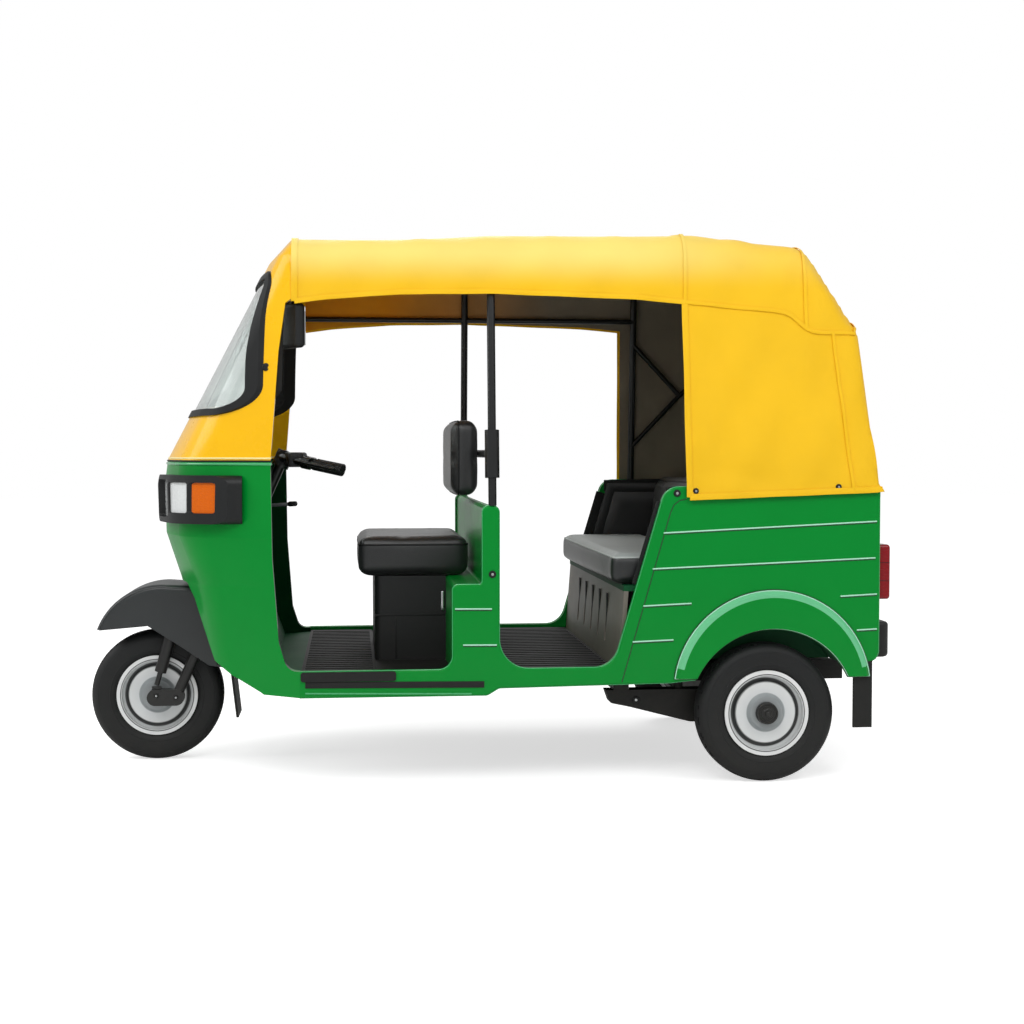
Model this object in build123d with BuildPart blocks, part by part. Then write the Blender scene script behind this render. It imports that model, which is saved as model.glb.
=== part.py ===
"""Auto rickshaw: three-wheeled passenger vehicle with a steel nose and a fabric hood, in millimetres.

+X points forward, +Y to the left and +Z up; the origin lies on the ground under the middle of the length.
"""
import os
from math import cos, radians, sin, tan

from build123d import *

os.makedirs("parts", exist_ok=True)

# Main sizes
wheelbase = 2000
tyre_diameter = 450
tyre_width = 100
rim_diameter = 276
body_width = 1300
wing_flare = 15
wheel_inset = 60
tail_overhang = 366
tail_lamp_depth = 44
panel_wall = 30
shell_wall = 22
hood_wall = 7
tail_wall = 18
fit_gap = 0.3
fold_radius = 6

# Heights above the ground
rail_z = 288
sill_low_z = 300
sill_z = 322
tail_low_z = 392
floor_z = 366
sill_top_z = 382
deck_z = 640
box_z = 650
partition_z = 898
belt_z = 955
cowl_top_z = 1040
screen_low_z = 1182
screen_top_z = 1660

# Wheels and steering
rake = 24
link_length = 70
column_radius = 18
leg_y = 88
leg_radius = 18
axle_radius = 10
shaft_radius = 14
guard_half = 125
guard_wall = 7
guard_bend = 60
guard_crown = 20
guard_reach = 300
bar_radius = 12

# Hood
hood_base_z = 900
hood_lap = 13.5
tube_radius = 13
rail_tube_radius = 10

# Stations along the length
tyre_radius = tyre_diameter / 2
rim_radius = rim_diameter / 2
overall_length = tyre_radius + wheelbase + tail_overhang + tail_lamp_depth
front_axle_x = overall_length / 2 - tyre_radius
rear_axle_x = front_axle_x - wheelbase
tail_x = rear_axle_x - tail_overhang
joint_x = front_axle_x - 510
hood_front_x = front_axle_x - 497
post_x = rear_axle_x + 888
hoop_x = rear_axle_x + 220
bow_x = rear_axle_x - 140
hood_rear_x = rear_axle_x - 300
riser_x = rear_axle_x + 470
cowl_back = front_axle_x - 640
side_y = body_width / 2 - wing_flare
wheel_y = side_y - wheel_inset
inner_y = side_y - panel_wall
hood_half = side_y + hood_lap
lean = tan(radians(rake))


def side_outline(points, y, radii=0):
    """Closed outline of (x, z) points on the upright plane at y, facing the right side."""
    with BuildSketch(Plane.XZ.offset(-y)) as flat:
        with BuildLine():
            FilletPolyline(*points, radius=radii, close=True)
        make_face()
    return flat.sketch


def front_outline(points, x, radii=0):
    """Closed outline of (y, z) points on the upright plane at x, facing forward."""
    with BuildSketch(Plane.YZ.offset(x)) as flat:
        with BuildLine():
            FilletPolyline(*points, radius=radii, close=True)
        make_face()
    return flat.sketch


def plan_outline(points, z, radii=0):
    """Closed outline of (x, y) points on the level plane at z."""
    with BuildSketch(Plane.XY.offset(z)) as flat:
        with BuildLine():
            FilletPolyline(*points, radius=radii, close=True)
        make_face()
    return flat.sketch


def disc(start, direction, radius):
    """Round section at a point, square to a direction."""
    with BuildSketch(Plane(origin=start, z_dir=direction)) as flat:
        Circle(radius)
    return flat.sketch


def arched_face(plane, base, half_base, corner, half_corner, tip, radius):
    """Section with a straight base, two flared sides, two rounded corners and an arc through the tip."""
    with BuildSketch(plane) as flat:
        with BuildLine():
            flank = Polyline(
                (corner, half_corner), (base, half_base), (base, -half_base), (corner, -half_corner)
            )
            ThreePointArc(flank @ 1, (tip, 0), flank @ 0)
        make_face()
        fillet(flat.vertices().group_by(Axis.X)[-1], radius)
    return flat.sketch


# Nose sections from the sill to the roof; nose and corner are measured from the front axle
# columns: height, nose, corner, corner's distance in from the body side, side slope, corner radius
cowl_rows = (
    (sill_low_z, -135, -260, 180, 0.712, 180),
    (640, -88, -205, 180, 0.584, 190),
    (795, -38, -150, 183, 0.500, 200),
    (cowl_top_z - 80, -34, -146, 187, 0.500, 200),
    (cowl_top_z, -45, -150, 190, 0.508, 200),
)
screen_rows = (
    cowl_rows[-1],
    (screen_top_z + 21, -386, -455, 75, 0.600, 110),
    (screen_top_z + 140, -495, -560, 75, 0.600, 70),
)

# Hood sections from front to rear
# columns: station, eave height, eave's distance in from the body side, crown height, corner radius
roof_rows = (
    (hood_front_x, 1730, 63, 1762, 90),
    (post_x, 1750, 60, 1782, 90),
    (hoop_x, 1764, 57, 1796, 90),
    (bow_x, 1725, 55, 1757, 90),
    (hood_rear_x, 1478, 43, 1492, 90),
    (hood_rear_x - 120, 1478, 43, 1492, 90),
)


def nose_sections(rows, inset):
    """Level sections of the nose, moved inward by an inset."""
    faces = []
    for height, nose, corner, narrow, slope, radius in rows:
        corner_x = front_axle_x + corner - inset
        half_corner = side_y - narrow - inset
        half_base = half_corner + slope * (corner_x - cowl_back)
        tip = front_axle_x + nose - inset
        faces.append(
            arched_face(Plane.XY.offset(height), cowl_back, half_base, corner_x, half_corner, tip, radius)
        )
    return faces


def roof_section(row, inset):
    """Upright section of the hood at one station, moved inward by an inset."""
    station, eave, narrow, crown, radius = row
    half = side_y - narrow
    plane = Plane(origin=(station, 0, 0), x_dir=(0, 0, 1), z_dir=(1, 0, 0))
    return arched_face(
        plane, hood_base_z, hood_half - inset, eave - inset, half - inset, crown - inset, radius - inset
    )


def roof_sections(inset):
    """All hood sections, moved inward by an inset."""
    return [roof_section(row, inset) for row in roof_rows]


def steer_at(height, across=0):
    """Point on the steering axis at a height, moved across the vehicle."""
    return (front_axle_x - link_length - (height - tyre_radius) * lean, across, height)


steer_dir = Vector(-sin(radians(rake)), 0, cos(radians(rake)))

# Front cowl: steel nose below the belt line, open at the wheel and at the doors
door_front = (
    (front_axle_x - 420, cowl_top_z + 5),
    (front_axle_x - 424, 730),
    (front_axle_x - 443, 470),
    (front_axle_x - 470, sill_top_z),
    (front_axle_x - 700, sill_top_z),
    (front_axle_x - 700, cowl_top_z + 5),
)
wheel_gap = (
    (front_axle_x + 60, 635),
    (front_axle_x - 130, 635),
    (front_axle_x - 160, 590),
    (front_axle_x - 231, 395),
    (front_axle_x - 288, 355),
    (front_axle_x - 381, sill_low_z + 8),
    (front_axle_x - 410, sill_low_z - 10),
    (front_axle_x + 60, sill_low_z - 10),
)
with BuildPart() as front_cowl:
    loft(nose_sections(cowl_rows, 0), ruled=True)
    loft(nose_sections(cowl_rows, shell_wall), ruled=True, mode=Mode.SUBTRACT)
    extrude(
        side_outline(door_front, body_width, (0, 60, 60, 40, 0, 0)),
        amount=2 * body_width,
        mode=Mode.SUBTRACT,
    )
    extrude(side_outline(wheel_gap, body_width), amount=2 * body_width, mode=Mode.SUBTRACT)
    with Locations((joint_x - 200, 0, (sill_low_z + cowl_top_z) / 2)):
        Box(400, 2 * body_width, cowl_top_z, mode=Mode.SUBTRACT)
front_cowl.part.label = "front_cowl"
export_step(front_cowl.part, "parts/front_cowl.step")

# Windscreen surround: upper nose with the screen opening, cut to the hood's front section
screen_low_half = side_y - 72
screen_top_half = side_y - 92
screen_head_z = screen_top_z - 22
screen_edge = (
    (screen_low_half, screen_low_z),
    (screen_top_half, screen_head_z),
    (-screen_top_half, screen_head_z),
    (-screen_low_half, screen_low_z),
)
seal_width = 22
glass_edge = tuple(
    (y - seal_width * (1 if y > 0 else -1), z + (seal_width if z < 1400 else -seal_width))
    for y, z in screen_edge
)
screen_radii = (90, 60, 60, 90)
glass_radii = (62, 34, 34, 62)
pillar_rear = (
    (front_axle_x - 420, cowl_top_z - 5),
    (front_axle_x - 447, 1382),
    (front_axle_x - 469, 1530),
    (hood_front_x, 1548),
    (hood_front_x, 1850),
    (front_axle_x - 800, 1850),
    (front_axle_x - 800, cowl_top_z - 5),
)
with BuildPart() as windscreen_surround:
    loft(nose_sections(screen_rows, 0), ruled=True)
    loft(nose_sections(screen_rows, shell_wall), ruled=True, mode=Mode.SUBTRACT)
    extrude(front_outline(screen_edge, front_axle_x - 480, screen_radii), amount=700, mode=Mode.SUBTRACT)
    extrude(side_outline(pillar_rear, body_width), amount=2 * body_width, mode=Mode.SUBTRACT)
    extrude(roof_section((hood_front_x - 10,) + roof_rows[0][1:], 0), amount=900, mode=Mode.INTERSECT)
windscreen_surround.part.label = "windscreen_surround"
export_step(windscreen_surround.part, "parts/windscreen_surround.step")

with BuildPart() as windscreen_seal:
    loft(nose_sections(screen_rows, -6), ruled=True)
    loft(nose_sections(screen_rows, shell_wall - 2), ruled=True, mode=Mode.SUBTRACT)
    extrude(front_outline(screen_edge, front_axle_x - 470, screen_radii), amount=700, mode=Mode.INTERSECT)
    extrude(front_outline(glass_edge, front_axle_x - 480, glass_radii), amount=700, mode=Mode.SUBTRACT)
windscreen_seal.part.label = "windscreen_seal"
export_step(windscreen_seal.part, "parts/windscreen_seal.step")

with BuildPart() as windscreen_glass:
    loft(nose_sections(screen_rows, 4), ruled=True)
    loft(nose_sections(screen_rows, 10), ruled=True, mode=Mode.SUBTRACT)
    extrude(front_outline(glass_edge, front_axle_x - 470, glass_radii), amount=700, mode=Mode.INTERSECT)
windscreen_glass.part.label = "windscreen_glass"
export_step(windscreen_glass.part, "parts/windscreen_glass.step")

# Lamps wrapped round the nose corners
bezel_proud = 28
lamp_low_z = cowl_top_z - 168
lamp_high_z = cowl_top_z - 71
# columns: inner edge, outer edge, both in from the body side, low edge, high edge
bezel_edge = (side_y - 400, side_y - 75, lamp_low_z - 34, lamp_high_z + 23)
head_edge = (side_y - 386, side_y - 243, lamp_low_z - 16, lamp_high_z + 8)
lamp_edge = (side_y - 231, side_y - 145, lamp_low_z, lamp_high_z)
amber_edge = (side_y - 142, side_y - 95, lamp_low_z, lamp_high_z)
bezel_corner = 30
lens_corner = 7
lens_proud = bezel_proud - 5
head_proud = 9


def lamp_outline(edge, margin, side, corner=lens_corner):
    """Rounded front outline of a lamp on one side, shrunk by a margin."""
    inner, outer, low, high = edge
    left, right = sorted((side * (inner + margin), side * (outer - margin)))
    corners = (
        (left, low + margin),
        (right, low + margin),
        (right, high - margin),
        (left, high - margin),
    )
    return front_outline(corners, front_axle_x - 330, corner)


with BuildPart() as headlamp_bezels:
    loft(nose_sections(cowl_rows, -bezel_proud), ruled=True)
    loft(nose_sections(cowl_rows, -fit_gap), ruled=True, mode=Mode.SUBTRACT)
    extrude(
        [lamp_outline(bezel_edge, 0, side, bezel_corner).face() for side in (1, -1)],
        amount=400,
        mode=Mode.INTERSECT,
    )
    for side in (1, -1):
        for edge in (head_edge, lamp_edge, amber_edge):
            extrude(lamp_outline(edge, 0, side), amount=400, mode=Mode.SUBTRACT)
headlamp_bezels.part.label = "headlamp_bezels"
export_step(headlamp_bezels.part, "parts/headlamp_bezels.step")

with BuildPart() as corner_lenses:
    loft(nose_sections(cowl_rows, -lens_proud), ruled=True)
    loft(nose_sections(cowl_rows, -fit_gap), ruled=True, mode=Mode.SUBTRACT)
    extrude(
        [lamp_outline(lamp_edge, fit_gap, side).face() for side in (1, -1)],
        amount=400,
        mode=Mode.INTERSECT,
    )

with BuildPart() as headlamp_lenses:
    loft(nose_sections(cowl_rows, -head_proud), ruled=True)
    loft(nose_sections(cowl_rows, -fit_gap), ruled=True, mode=Mode.SUBTRACT)
    extrude(
        [lamp_outline(head_edge, fit_gap, side).face() for side in (1, -1)],
        amount=400,
        mode=Mode.INTERSECT,
    )
    add(corner_lenses.part)
headlamp_lenses.part.label = "headlamp_lenses"
export_step(headlamp_lenses.part, "parts/headlamp_lenses.step")

with BuildPart() as indicator_lenses:
    loft(nose_sections(cowl_rows, -lens_proud), ruled=True)
    loft(nose_sections(cowl_rows, -fit_gap), ruled=True, mode=Mode.SUBTRACT)
    extrude(
        [lamp_outline(amber_edge, fit_gap, side).face() for side in (1, -1)],
        amount=400,
        mode=Mode.INTERSECT,
    )
indicator_lenses.part.label = "indicator_lenses"
export_step(indicator_lenses.part, "parts/indicator_lenses.step")

# Toe board and wheel housing inside the cowl, with the head tube round the steering column
toe_wall = 14
toe_board_side = (
    (joint_x, floor_z),
    (front_axle_x - 415, floor_z),
    (front_axle_x - 347, 560),
    (front_axle_x - 300, 648),
    (front_axle_x, 648),
    (front_axle_x, 648 - toe_wall),
    (front_axle_x - 292, 648 - toe_wall),
    (front_axle_x - 334, 553),
    (front_axle_x - 405, floor_z - toe_wall),
    (joint_x, floor_z - toe_wall),
)
head_low_z = 600
head_high_z = 770
with BuildPart() as toe_board:
    extrude(side_outline(toe_board_side, body_width), amount=2 * body_width)
    loft(nose_sections(cowl_rows, shell_wall + fit_gap), ruled=True, mode=Mode.INTERSECT)
    extrude(
        disc(steer_at(head_low_z), steer_dir, column_radius + 14),
        amount=(head_high_z - head_low_z) / cos(radians(rake)),
    )
    extrude(disc(steer_at(500), steer_dir, column_radius + fit_gap), amount=400, mode=Mode.SUBTRACT)
toe_board.part.label = "toe_board"
export_step(toe_board.part, "parts/toe_board.step")

# Dash shelf under the windscreen
dash_side = (
    (front_axle_x - 362, cowl_top_z),
    (front_axle_x, cowl_top_z),
    (front_axle_x, cowl_top_z - 16),
    (front_axle_x - 320, cowl_top_z - 24),
    (front_axle_x - 338, cowl_top_z - 110),
    (front_axle_x - 358, cowl_top_z - 110),
)
with BuildPart() as dash_shelf:
    extrude(side_outline(dash_side, body_width), amount=2 * body_width)
    loft(nose_sections(cowl_rows, shell_wall + fit_gap), ruled=True, mode=Mode.INTERSECT)
dash_shelf.part.label = "dash_shelf"
export_step(dash_shelf.part, "parts/dash_shelf.step")

# Side panels: sill, seat-box base, partition edge and rear quarter in one wall per side
arch_x = rear_axle_x - 14
arch_radius = tyre_radius + 51
base_front_x = rear_axle_x + 1014
partition_front_x = rear_axle_x + 920
partition_rear_x = rear_axle_x + 867
# columns: x, z, corner radius
panel_rows = (
    (joint_x, sill_low_z, 0),
    (rear_axle_x + 905, sill_low_z, 20),
    (rear_axle_x + 868, sill_z, 20),
    (rear_axle_x + 320, sill_z + 8, 0),
    (tail_x, tail_low_z, 35),
    (tail_x, belt_z, 12),
    (rear_axle_x + 335, belt_z, 55),
    (rear_axle_x + 503, sill_top_z, 80),
    (partition_rear_x, sill_top_z, 95),
    (partition_rear_x, partition_z, 22),
    (partition_front_x, partition_z, 20),
    (partition_front_x, box_z, 12),
    (base_front_x, box_z, 18),
    (base_front_x, sill_top_z, 45),
    (joint_x, sill_top_z, 0),
)
panel_points = [row[:2] for row in panel_rows]
panel_radii = [row[2] for row in panel_rows]
with BuildPart() as side_panel_left:
    extrude(side_outline(panel_points, side_y, panel_radii), amount=panel_wall)
    folded = side_panel_left.faces().sort_by(Axis.Y)[-1].edges()
    fillet(folded.filter_by(lambda edge: edge.center().X < joint_x - 1), fold_radius)
    with Locations(Pos(arch_x, side_y, tyre_radius) * Rot(90, 0, 0)):
        Cylinder(arch_radius, 4 * panel_wall, mode=Mode.SUBTRACT)
side_panel_left.part.label = "side_panel_left"
export_step(side_panel_left.part, "parts/side_panel_left.step")

with BuildPart() as side_panel_right:
    add(mirror(side_panel_left.part, about=Plane.XZ, mode=Mode.PRIVATE))
side_panel_right.part.label = "side_panel_right"
export_step(side_panel_right.part, "parts/side_panel_right.step")

# Rear wings: raised bands over the wheel arches
wing_radius = 322
wing_centre_z = 300
with BuildPart() as rear_wings:
    for side in (1, -1):
        with BuildSketch(Plane.XZ.offset(-side * side_y)) as band:
            with Locations((arch_x, wing_centre_z)):
                Circle(wing_radius)
            with Locations((arch_x, tyre_radius)):
                Circle(arch_radius, mode=Mode.SUBTRACT)
            with Locations((arch_x, sill_z + 22)):
                Rectangle(
                    2 * wing_radius, wing_radius, align=(Align.CENTER, Align.MIN), mode=Mode.INTERSECT
                )
        extrude(band.sketch, amount=-side * wing_flare)
    chamfer(
        rear_wings.edges()
        .filter_by(lambda edge: edge.radius == wing_radius if edge.geom_type == GeomType.CIRCLE else False)
        .filter_by(lambda edge: abs(edge.center().Y) > side_y + wing_flare / 2),
        wing_flare * 0.7,
    )
rear_wings.part.label = "rear_wings"
export_step(rear_wings.part, "parts/rear_wings.step")

# Rear deck under the seat, and the wheel houses inside the rear quarters
house_wall = 8
house_inner_y = wheel_y - tyre_width / 2 - 20
with BuildPart() as rear_deck:
    with Locations(((tail_x + tail_wall + riser_x - 4) / 2, 0, deck_z - 9)):
        Box(riser_x - 4 - tail_x - tail_wall, 2 * inner_y, 18)
    for side in (1, -1):
        with BuildSketch(Plane.XZ.offset(-side * inner_y)) as hoop:
            with Locations((arch_x, tyre_radius)):
                Circle(arch_radius + house_wall)
                Circle(arch_radius, mode=Mode.SUBTRACT)
            with Locations((arch_x, tail_low_z - 4)):
                Rectangle(
                    4 * arch_radius, arch_radius, align=(Align.CENTER, Align.MIN), mode=Mode.INTERSECT
                )
        extrude(hoop.sketch, amount=side * (inner_y - house_inner_y))
        with BuildSketch(Plane.XZ.offset(-side * house_inner_y)) as wall:
            with Locations((arch_x, tyre_radius)):
                Circle(arch_radius + house_wall)
            with Locations((arch_x, tail_low_z - 4)):
                Rectangle(
                    4 * arch_radius, arch_radius, align=(Align.CENTER, Align.MIN), mode=Mode.INTERSECT
                )
        extrude(wall.sketch, amount=-side * house_wall)
rear_deck.part.label = "rear_deck"
export_step(rear_deck.part, "parts/rear_deck.step")

# Step strips on the driver's sills
strip_length = 296
with BuildPart() as step_strips:
    for side in (1, -1):
        with Locations((joint_x - 2 - strip_length / 2, side * (side_y + 3), sill_top_z - 16)):
            Box(strip_length, 6, 30)
    fillet(step_strips.edges().filter_by(Axis.Y), 8)
step_strips.part.label = "step_strips"
export_step(step_strips.part, "parts/step_strips.step")

# Floor pan and ribbed mats
floor_wall = 14
with BuildPart() as floor_pan:
    with Locations(((riser_x - 10 + joint_x) / 2, 0, floor_z - floor_wall / 2)):
        Box(joint_x - riser_x + 10, 2 * inner_y, floor_wall)
floor_pan.part.label = "floor_pan"
export_step(floor_pan.part, "parts/floor_pan.step")

seat_box_front_x = rear_axle_x + 1252
mat_wall = 5
mat_rib = 3
rib_pitch = 46
rib_count = int((2 * inner_y - 100) / rib_pitch)
# columns: rear edge, front edge
mat_rows = (
    (riser_x + 18, partition_rear_x),
    (seat_box_front_x, joint_x - 2),
)
with BuildPart() as floor_mats:
    for mat_rear, mat_front in mat_rows:
        middle = (mat_rear + mat_front) / 2
        with Locations((middle, 0, floor_z + mat_wall / 2)):
            Box(mat_front - mat_rear, 2 * inner_y - 12, mat_wall)
        with Locations((middle, 0, floor_z + mat_wall + mat_rib / 2)):
            with GridLocations(1, rib_pitch, 1, rib_count):
                Box(mat_front - mat_rear - 20, rib_pitch / 2, mat_rib)
floor_mats.part.label = "floor_mats"
export_step(floor_mats.part, "parts/floor_mats.step")

# Frame: two rails, cross members, jacking pads and a rear towing eye
rail_y = 295
rail_width = 50
rail_height = floor_z - floor_wall - rail_z
rail_rear_x = tail_x + tail_wall
arm_pivot_x = rear_axle_x + 455
eye_radius = 14
eye_x = tail_x - 8
eye_z = rail_z + 28
# columns: station, half length
cross_rows = (
    (joint_x - 40, rail_y),
    (post_x, rail_y),
    (arm_pivot_x, house_inner_y),
    (rail_rear_x + 25, rail_y),
)
with BuildPart() as frame_rails:
    for side in (1, -1):
        with Locations(((rail_rear_x + joint_x) / 2, side * rail_y, rail_z + rail_height / 2)):
            Box(joint_x - rail_rear_x, rail_width, rail_height)
        for pad_x in (joint_x - 180, arm_pivot_x + 180):
            with Locations((pad_x, side * rail_y, rail_z - 6)):
                Box(90, rail_width - 8, 12)
    for station, half in cross_rows:
        with Locations((station, 0, rail_z + 25)):
            Box(50, 2 * half, 50)
    extrude(
        side_outline(
            (
                (rail_rear_x + 20, rail_z),
                (tail_x - 32, rail_z),
                (tail_x - 32, rail_z + 50),
                (rail_rear_x + 20, rail_z + 50),
            ),
            6,
            (0, 20, 20, 0),
        ),
        amount=12,
    )
    extrude(disc((eye_x, -10, eye_z), (0, 1, 0), eye_radius), amount=20, mode=Mode.SUBTRACT)
frame_rails.part.label = "frame_rails"
export_step(frame_rails.part, "parts/frame_rails.step")

# Partition behind the driver with the full-width seat base in front of it
partition_side = (
    (partition_rear_x + 5, floor_z),
    (base_front_x - 1, floor_z),
    (base_front_x - 1, box_z - 1),
    (partition_front_x - 5, box_z - 1),
    (partition_front_x - 5, partition_z - 2),
    (partition_rear_x + 5, partition_z - 2),
)
with BuildPart() as partition:
    extrude(side_outline(partition_side, inner_y, (0, 0, 14, 10, 18, 18)), amount=2 * inner_y)
partition.part.label = "partition"
export_step(partition.part, "parts/partition.step")

# Driver's seat
seat_half = 290
with BuildPart() as driver_seat_box:
    with Locations(((base_front_x - 1 + seat_box_front_x) / 2, 0, (floor_z + box_z - 1) / 2)):
        Box(seat_box_front_x - base_front_x + 1, 2 * seat_half - 60, box_z - 1 - floor_z)
    fillet(driver_seat_box.edges().filter_by(Axis.Z).group_by(Axis.X)[-1], 25)
driver_seat_box.part.label = "driver_seat_box"
export_step(driver_seat_box.part, "parts/driver_seat_box.step")

cushion_height = 136
cushion_rear_x = partition_front_x + 8
cushion_front_x = seat_box_front_x + 65
with BuildPart() as driver_cushion:
    with Locations(((cushion_rear_x + cushion_front_x) / 2, 0, box_z - 1 + cushion_height / 2)):
        Box(cushion_front_x - cushion_rear_x, 2 * seat_half, cushion_height)
    fillet(driver_cushion.edges().filter_by(Axis.Z), 45)
    fillet(driver_cushion.edges().group_by(Axis.Z)[-1], 38)
driver_cushion.part.label = "driver_cushion"
export_step(driver_cushion.part, "parts/driver_cushion.step")

backrest_rear_x = post_x + tube_radius + fit_gap
with BuildPart() as driver_backrest:
    with Locations((backrest_rear_x + 46, 0, partition_z + 148)):
        Box(92, 2 * seat_half - 80, 272)
    fillet(driver_backrest.edges().group_by(Axis.X)[-1], 36)
driver_backrest.part.label = "driver_backrest"
export_step(driver_backrest.part, "parts/driver_backrest.step")

# Rear seat: slotted riser, deck, cushion, backrest and padded side trims
riser_side = (
    (riser_x + 13, floor_z),
    (riser_x - 6, deck_z - 18),
    (riser_x - 20, deck_z - 18),
    (riser_x - 1, floor_z),
)
slot_pitch = 155
with BuildPart() as seat_riser:
    extrude(side_outline(riser_side, inner_y), amount=2 * inner_y)
    with BuildSketch(Plane.YZ.offset(riser_x - 100)) as slots:
        with Locations((0, (floor_z + deck_z) / 2)):
            with GridLocations(slot_pitch, 1, 5, 1):
                SlotOverall(150, 26, rotation=90)
    extrude(slots.sketch, amount=200, mode=Mode.SUBTRACT)
seat_riser.part.label = "seat_riser"
export_step(seat_riser.part, "parts/seat_riser.step")

bench_half = inner_y - 15
bench_depth = 352
bench_height = 102
with BuildPart() as rear_cushion:
    with Locations((rear_axle_x + 160 + bench_depth / 2, 0, deck_z + bench_height / 2)):
        Box(bench_depth, 2 * bench_half, bench_height)
    fillet(rear_cushion.edges().filter_by(Axis.Z), 32)
    fillet(rear_cushion.edges().group_by(Axis.Z)[-1], 30)
rear_cushion.part.label = "rear_cushion"
export_step(rear_cushion.part, "parts/rear_cushion.step")

backrest_side = (
    (rear_axle_x + 60, deck_z),
    (rear_axle_x + 159, deck_z),
    (rear_axle_x + 130, deck_z + 345),
    (rear_axle_x + 42, deck_z + 345),
)
with BuildPart() as rear_backrest:
    extrude(side_outline(backrest_side, bench_half, (0, 0, 38, 38)), amount=2 * bench_half)
rear_backrest.part.label = "rear_backrest"
export_step(rear_backrest.part, "parts/rear_backrest.step")

trim_side = (
    (tail_x + tail_wall + 6, deck_z + 1),
    (rear_axle_x + 405, deck_z + 1),
    (rear_axle_x + 325, belt_z - 12),
    (tail_x + tail_wall + 6, belt_z - 12),
)
with BuildPart() as side_trims:
    extrude(side_outline(trim_side, inner_y, (0, 12, 50, 0)), amount=10)
    mirror(about=Plane.XZ)
side_trims.part.label = "side_trims"
export_step(side_trims.part, "parts/side_trims.step")

# Hood fabric: one lofted shell parted along its seam into roof and curtain
valance = (
    (hood_front_x + 1, 1534),
    (hood_front_x - 95, 1548),
    (rear_axle_x + 1176, 1566),
    (rear_axle_x + 888, 1571),
    (rear_axle_x + 419, 1557),
    (rear_axle_x + 270, 1543),
)
seam = (
    (rear_axle_x - 77, 1513),
    (rear_axle_x - 133, 1447),
    (hood_rear_x + 5, 1481),
    (hood_rear_x - 140, 1481),
)
curtain_front = ((rear_axle_x + 262, 922), (rear_axle_x + 270, 1543))
roof_limit = valance + seam + ((hood_rear_x - 140, 1850), (hood_front_x + 1, 1850))
curtain_limit = curtain_front + seam + ((hood_rear_x - 140, 946),)


def rear_limit(inset):
    """Side outline of the space in front of the sloping rear wall."""
    return (
        (hood_front_x + 1, hood_base_z - 10),
        (hood_front_x + 1, 1850),
        (hood_rear_x - 3 + inset, 1850),
        (hood_rear_x - 3 + inset, 1492),
        (tail_x - 8 + inset, belt_z + 2),
        (tail_x - 8 + inset, hood_base_z - 10),
    )


with BuildPart() as hood_space:
    loft(roof_sections(hood_wall), ruled=True)
    extrude(side_outline(rear_limit(hood_wall), body_width), amount=2 * body_width, mode=Mode.INTERSECT)

with BuildPart() as hood_shell:
    loft(roof_sections(0), ruled=True)
    extrude(side_outline(rear_limit(0), body_width), amount=2 * body_width, mode=Mode.INTERSECT)
    add(hood_space.part, mode=Mode.SUBTRACT)

with BuildPart() as hood_roof:
    add(hood_shell.part)
    extrude(side_outline(roof_limit, body_width), amount=2 * body_width, mode=Mode.INTERSECT)
hood_roof.part.label = "hood_roof"
export_step(hood_roof.part, "parts/hood_roof.step")

window_low_z = 1150
window_high_z = 1370
window_edge = ((-270, window_low_z), (270, window_low_z), (270, window_high_z), (-270, window_high_z))
with BuildPart() as hood_curtain:
    add(hood_shell.part)
    extrude(side_outline(curtain_limit, body_width), amount=2 * body_width, mode=Mode.INTERSECT)
    extrude(front_outline(window_edge, tail_x - 60, 40), amount=200, mode=Mode.SUBTRACT)
hood_curtain.part.label = "hood_curtain"
export_step(hood_curtain.part, "parts/hood_curtain.step")

pane = (
    (hood_rear_x - 1, 1492),
    (tail_x - 6, belt_z + 2),
    (tail_x - 3, belt_z + 2),
    (hood_rear_x + 2, 1492),
)
with BuildPart() as rear_window:
    extrude(side_outline(pane, body_width), amount=2 * body_width)
    extrude(front_outline(window_edge, tail_x - 60, 40), amount=200, mode=Mode.INTERSECT)
rear_window.part.label = "rear_window"
export_step(rear_window.part, "parts/rear_window.step")

# Hood frame: hoops under the fabric, side rails, hood irons and the driver's backrest rail
hoop_inset = hood_wall + tube_radius + 2
# columns: hood row, distance ahead of it, foot height
hoop_rows = ((1, 0, partition_z), (2, 0, belt_z), (3, tube_radius + 3, belt_z))
rail_tube_y = side_y - 69
rail_tube_z = 1578
backrest_rail_z = 1060
# hood irons, columns: x and z of both ends from the rear axle and the ground
iron_rows = (
    (222, 1490, 30, 1290),
    (222, 1085, 30, 1290),
    (30, 1290, -140, 1440),
)
iron_radius = 9


def hoop_at(row, height):
    """Half width of a hoop's centre line at a height."""
    station, eave, narrow, crown, radius = roof_rows[row]
    share = (height - hood_base_z) / (eave - hoop_inset - hood_base_z)
    return hood_half - hoop_inset + share * (side_y - narrow - hood_half)


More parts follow.
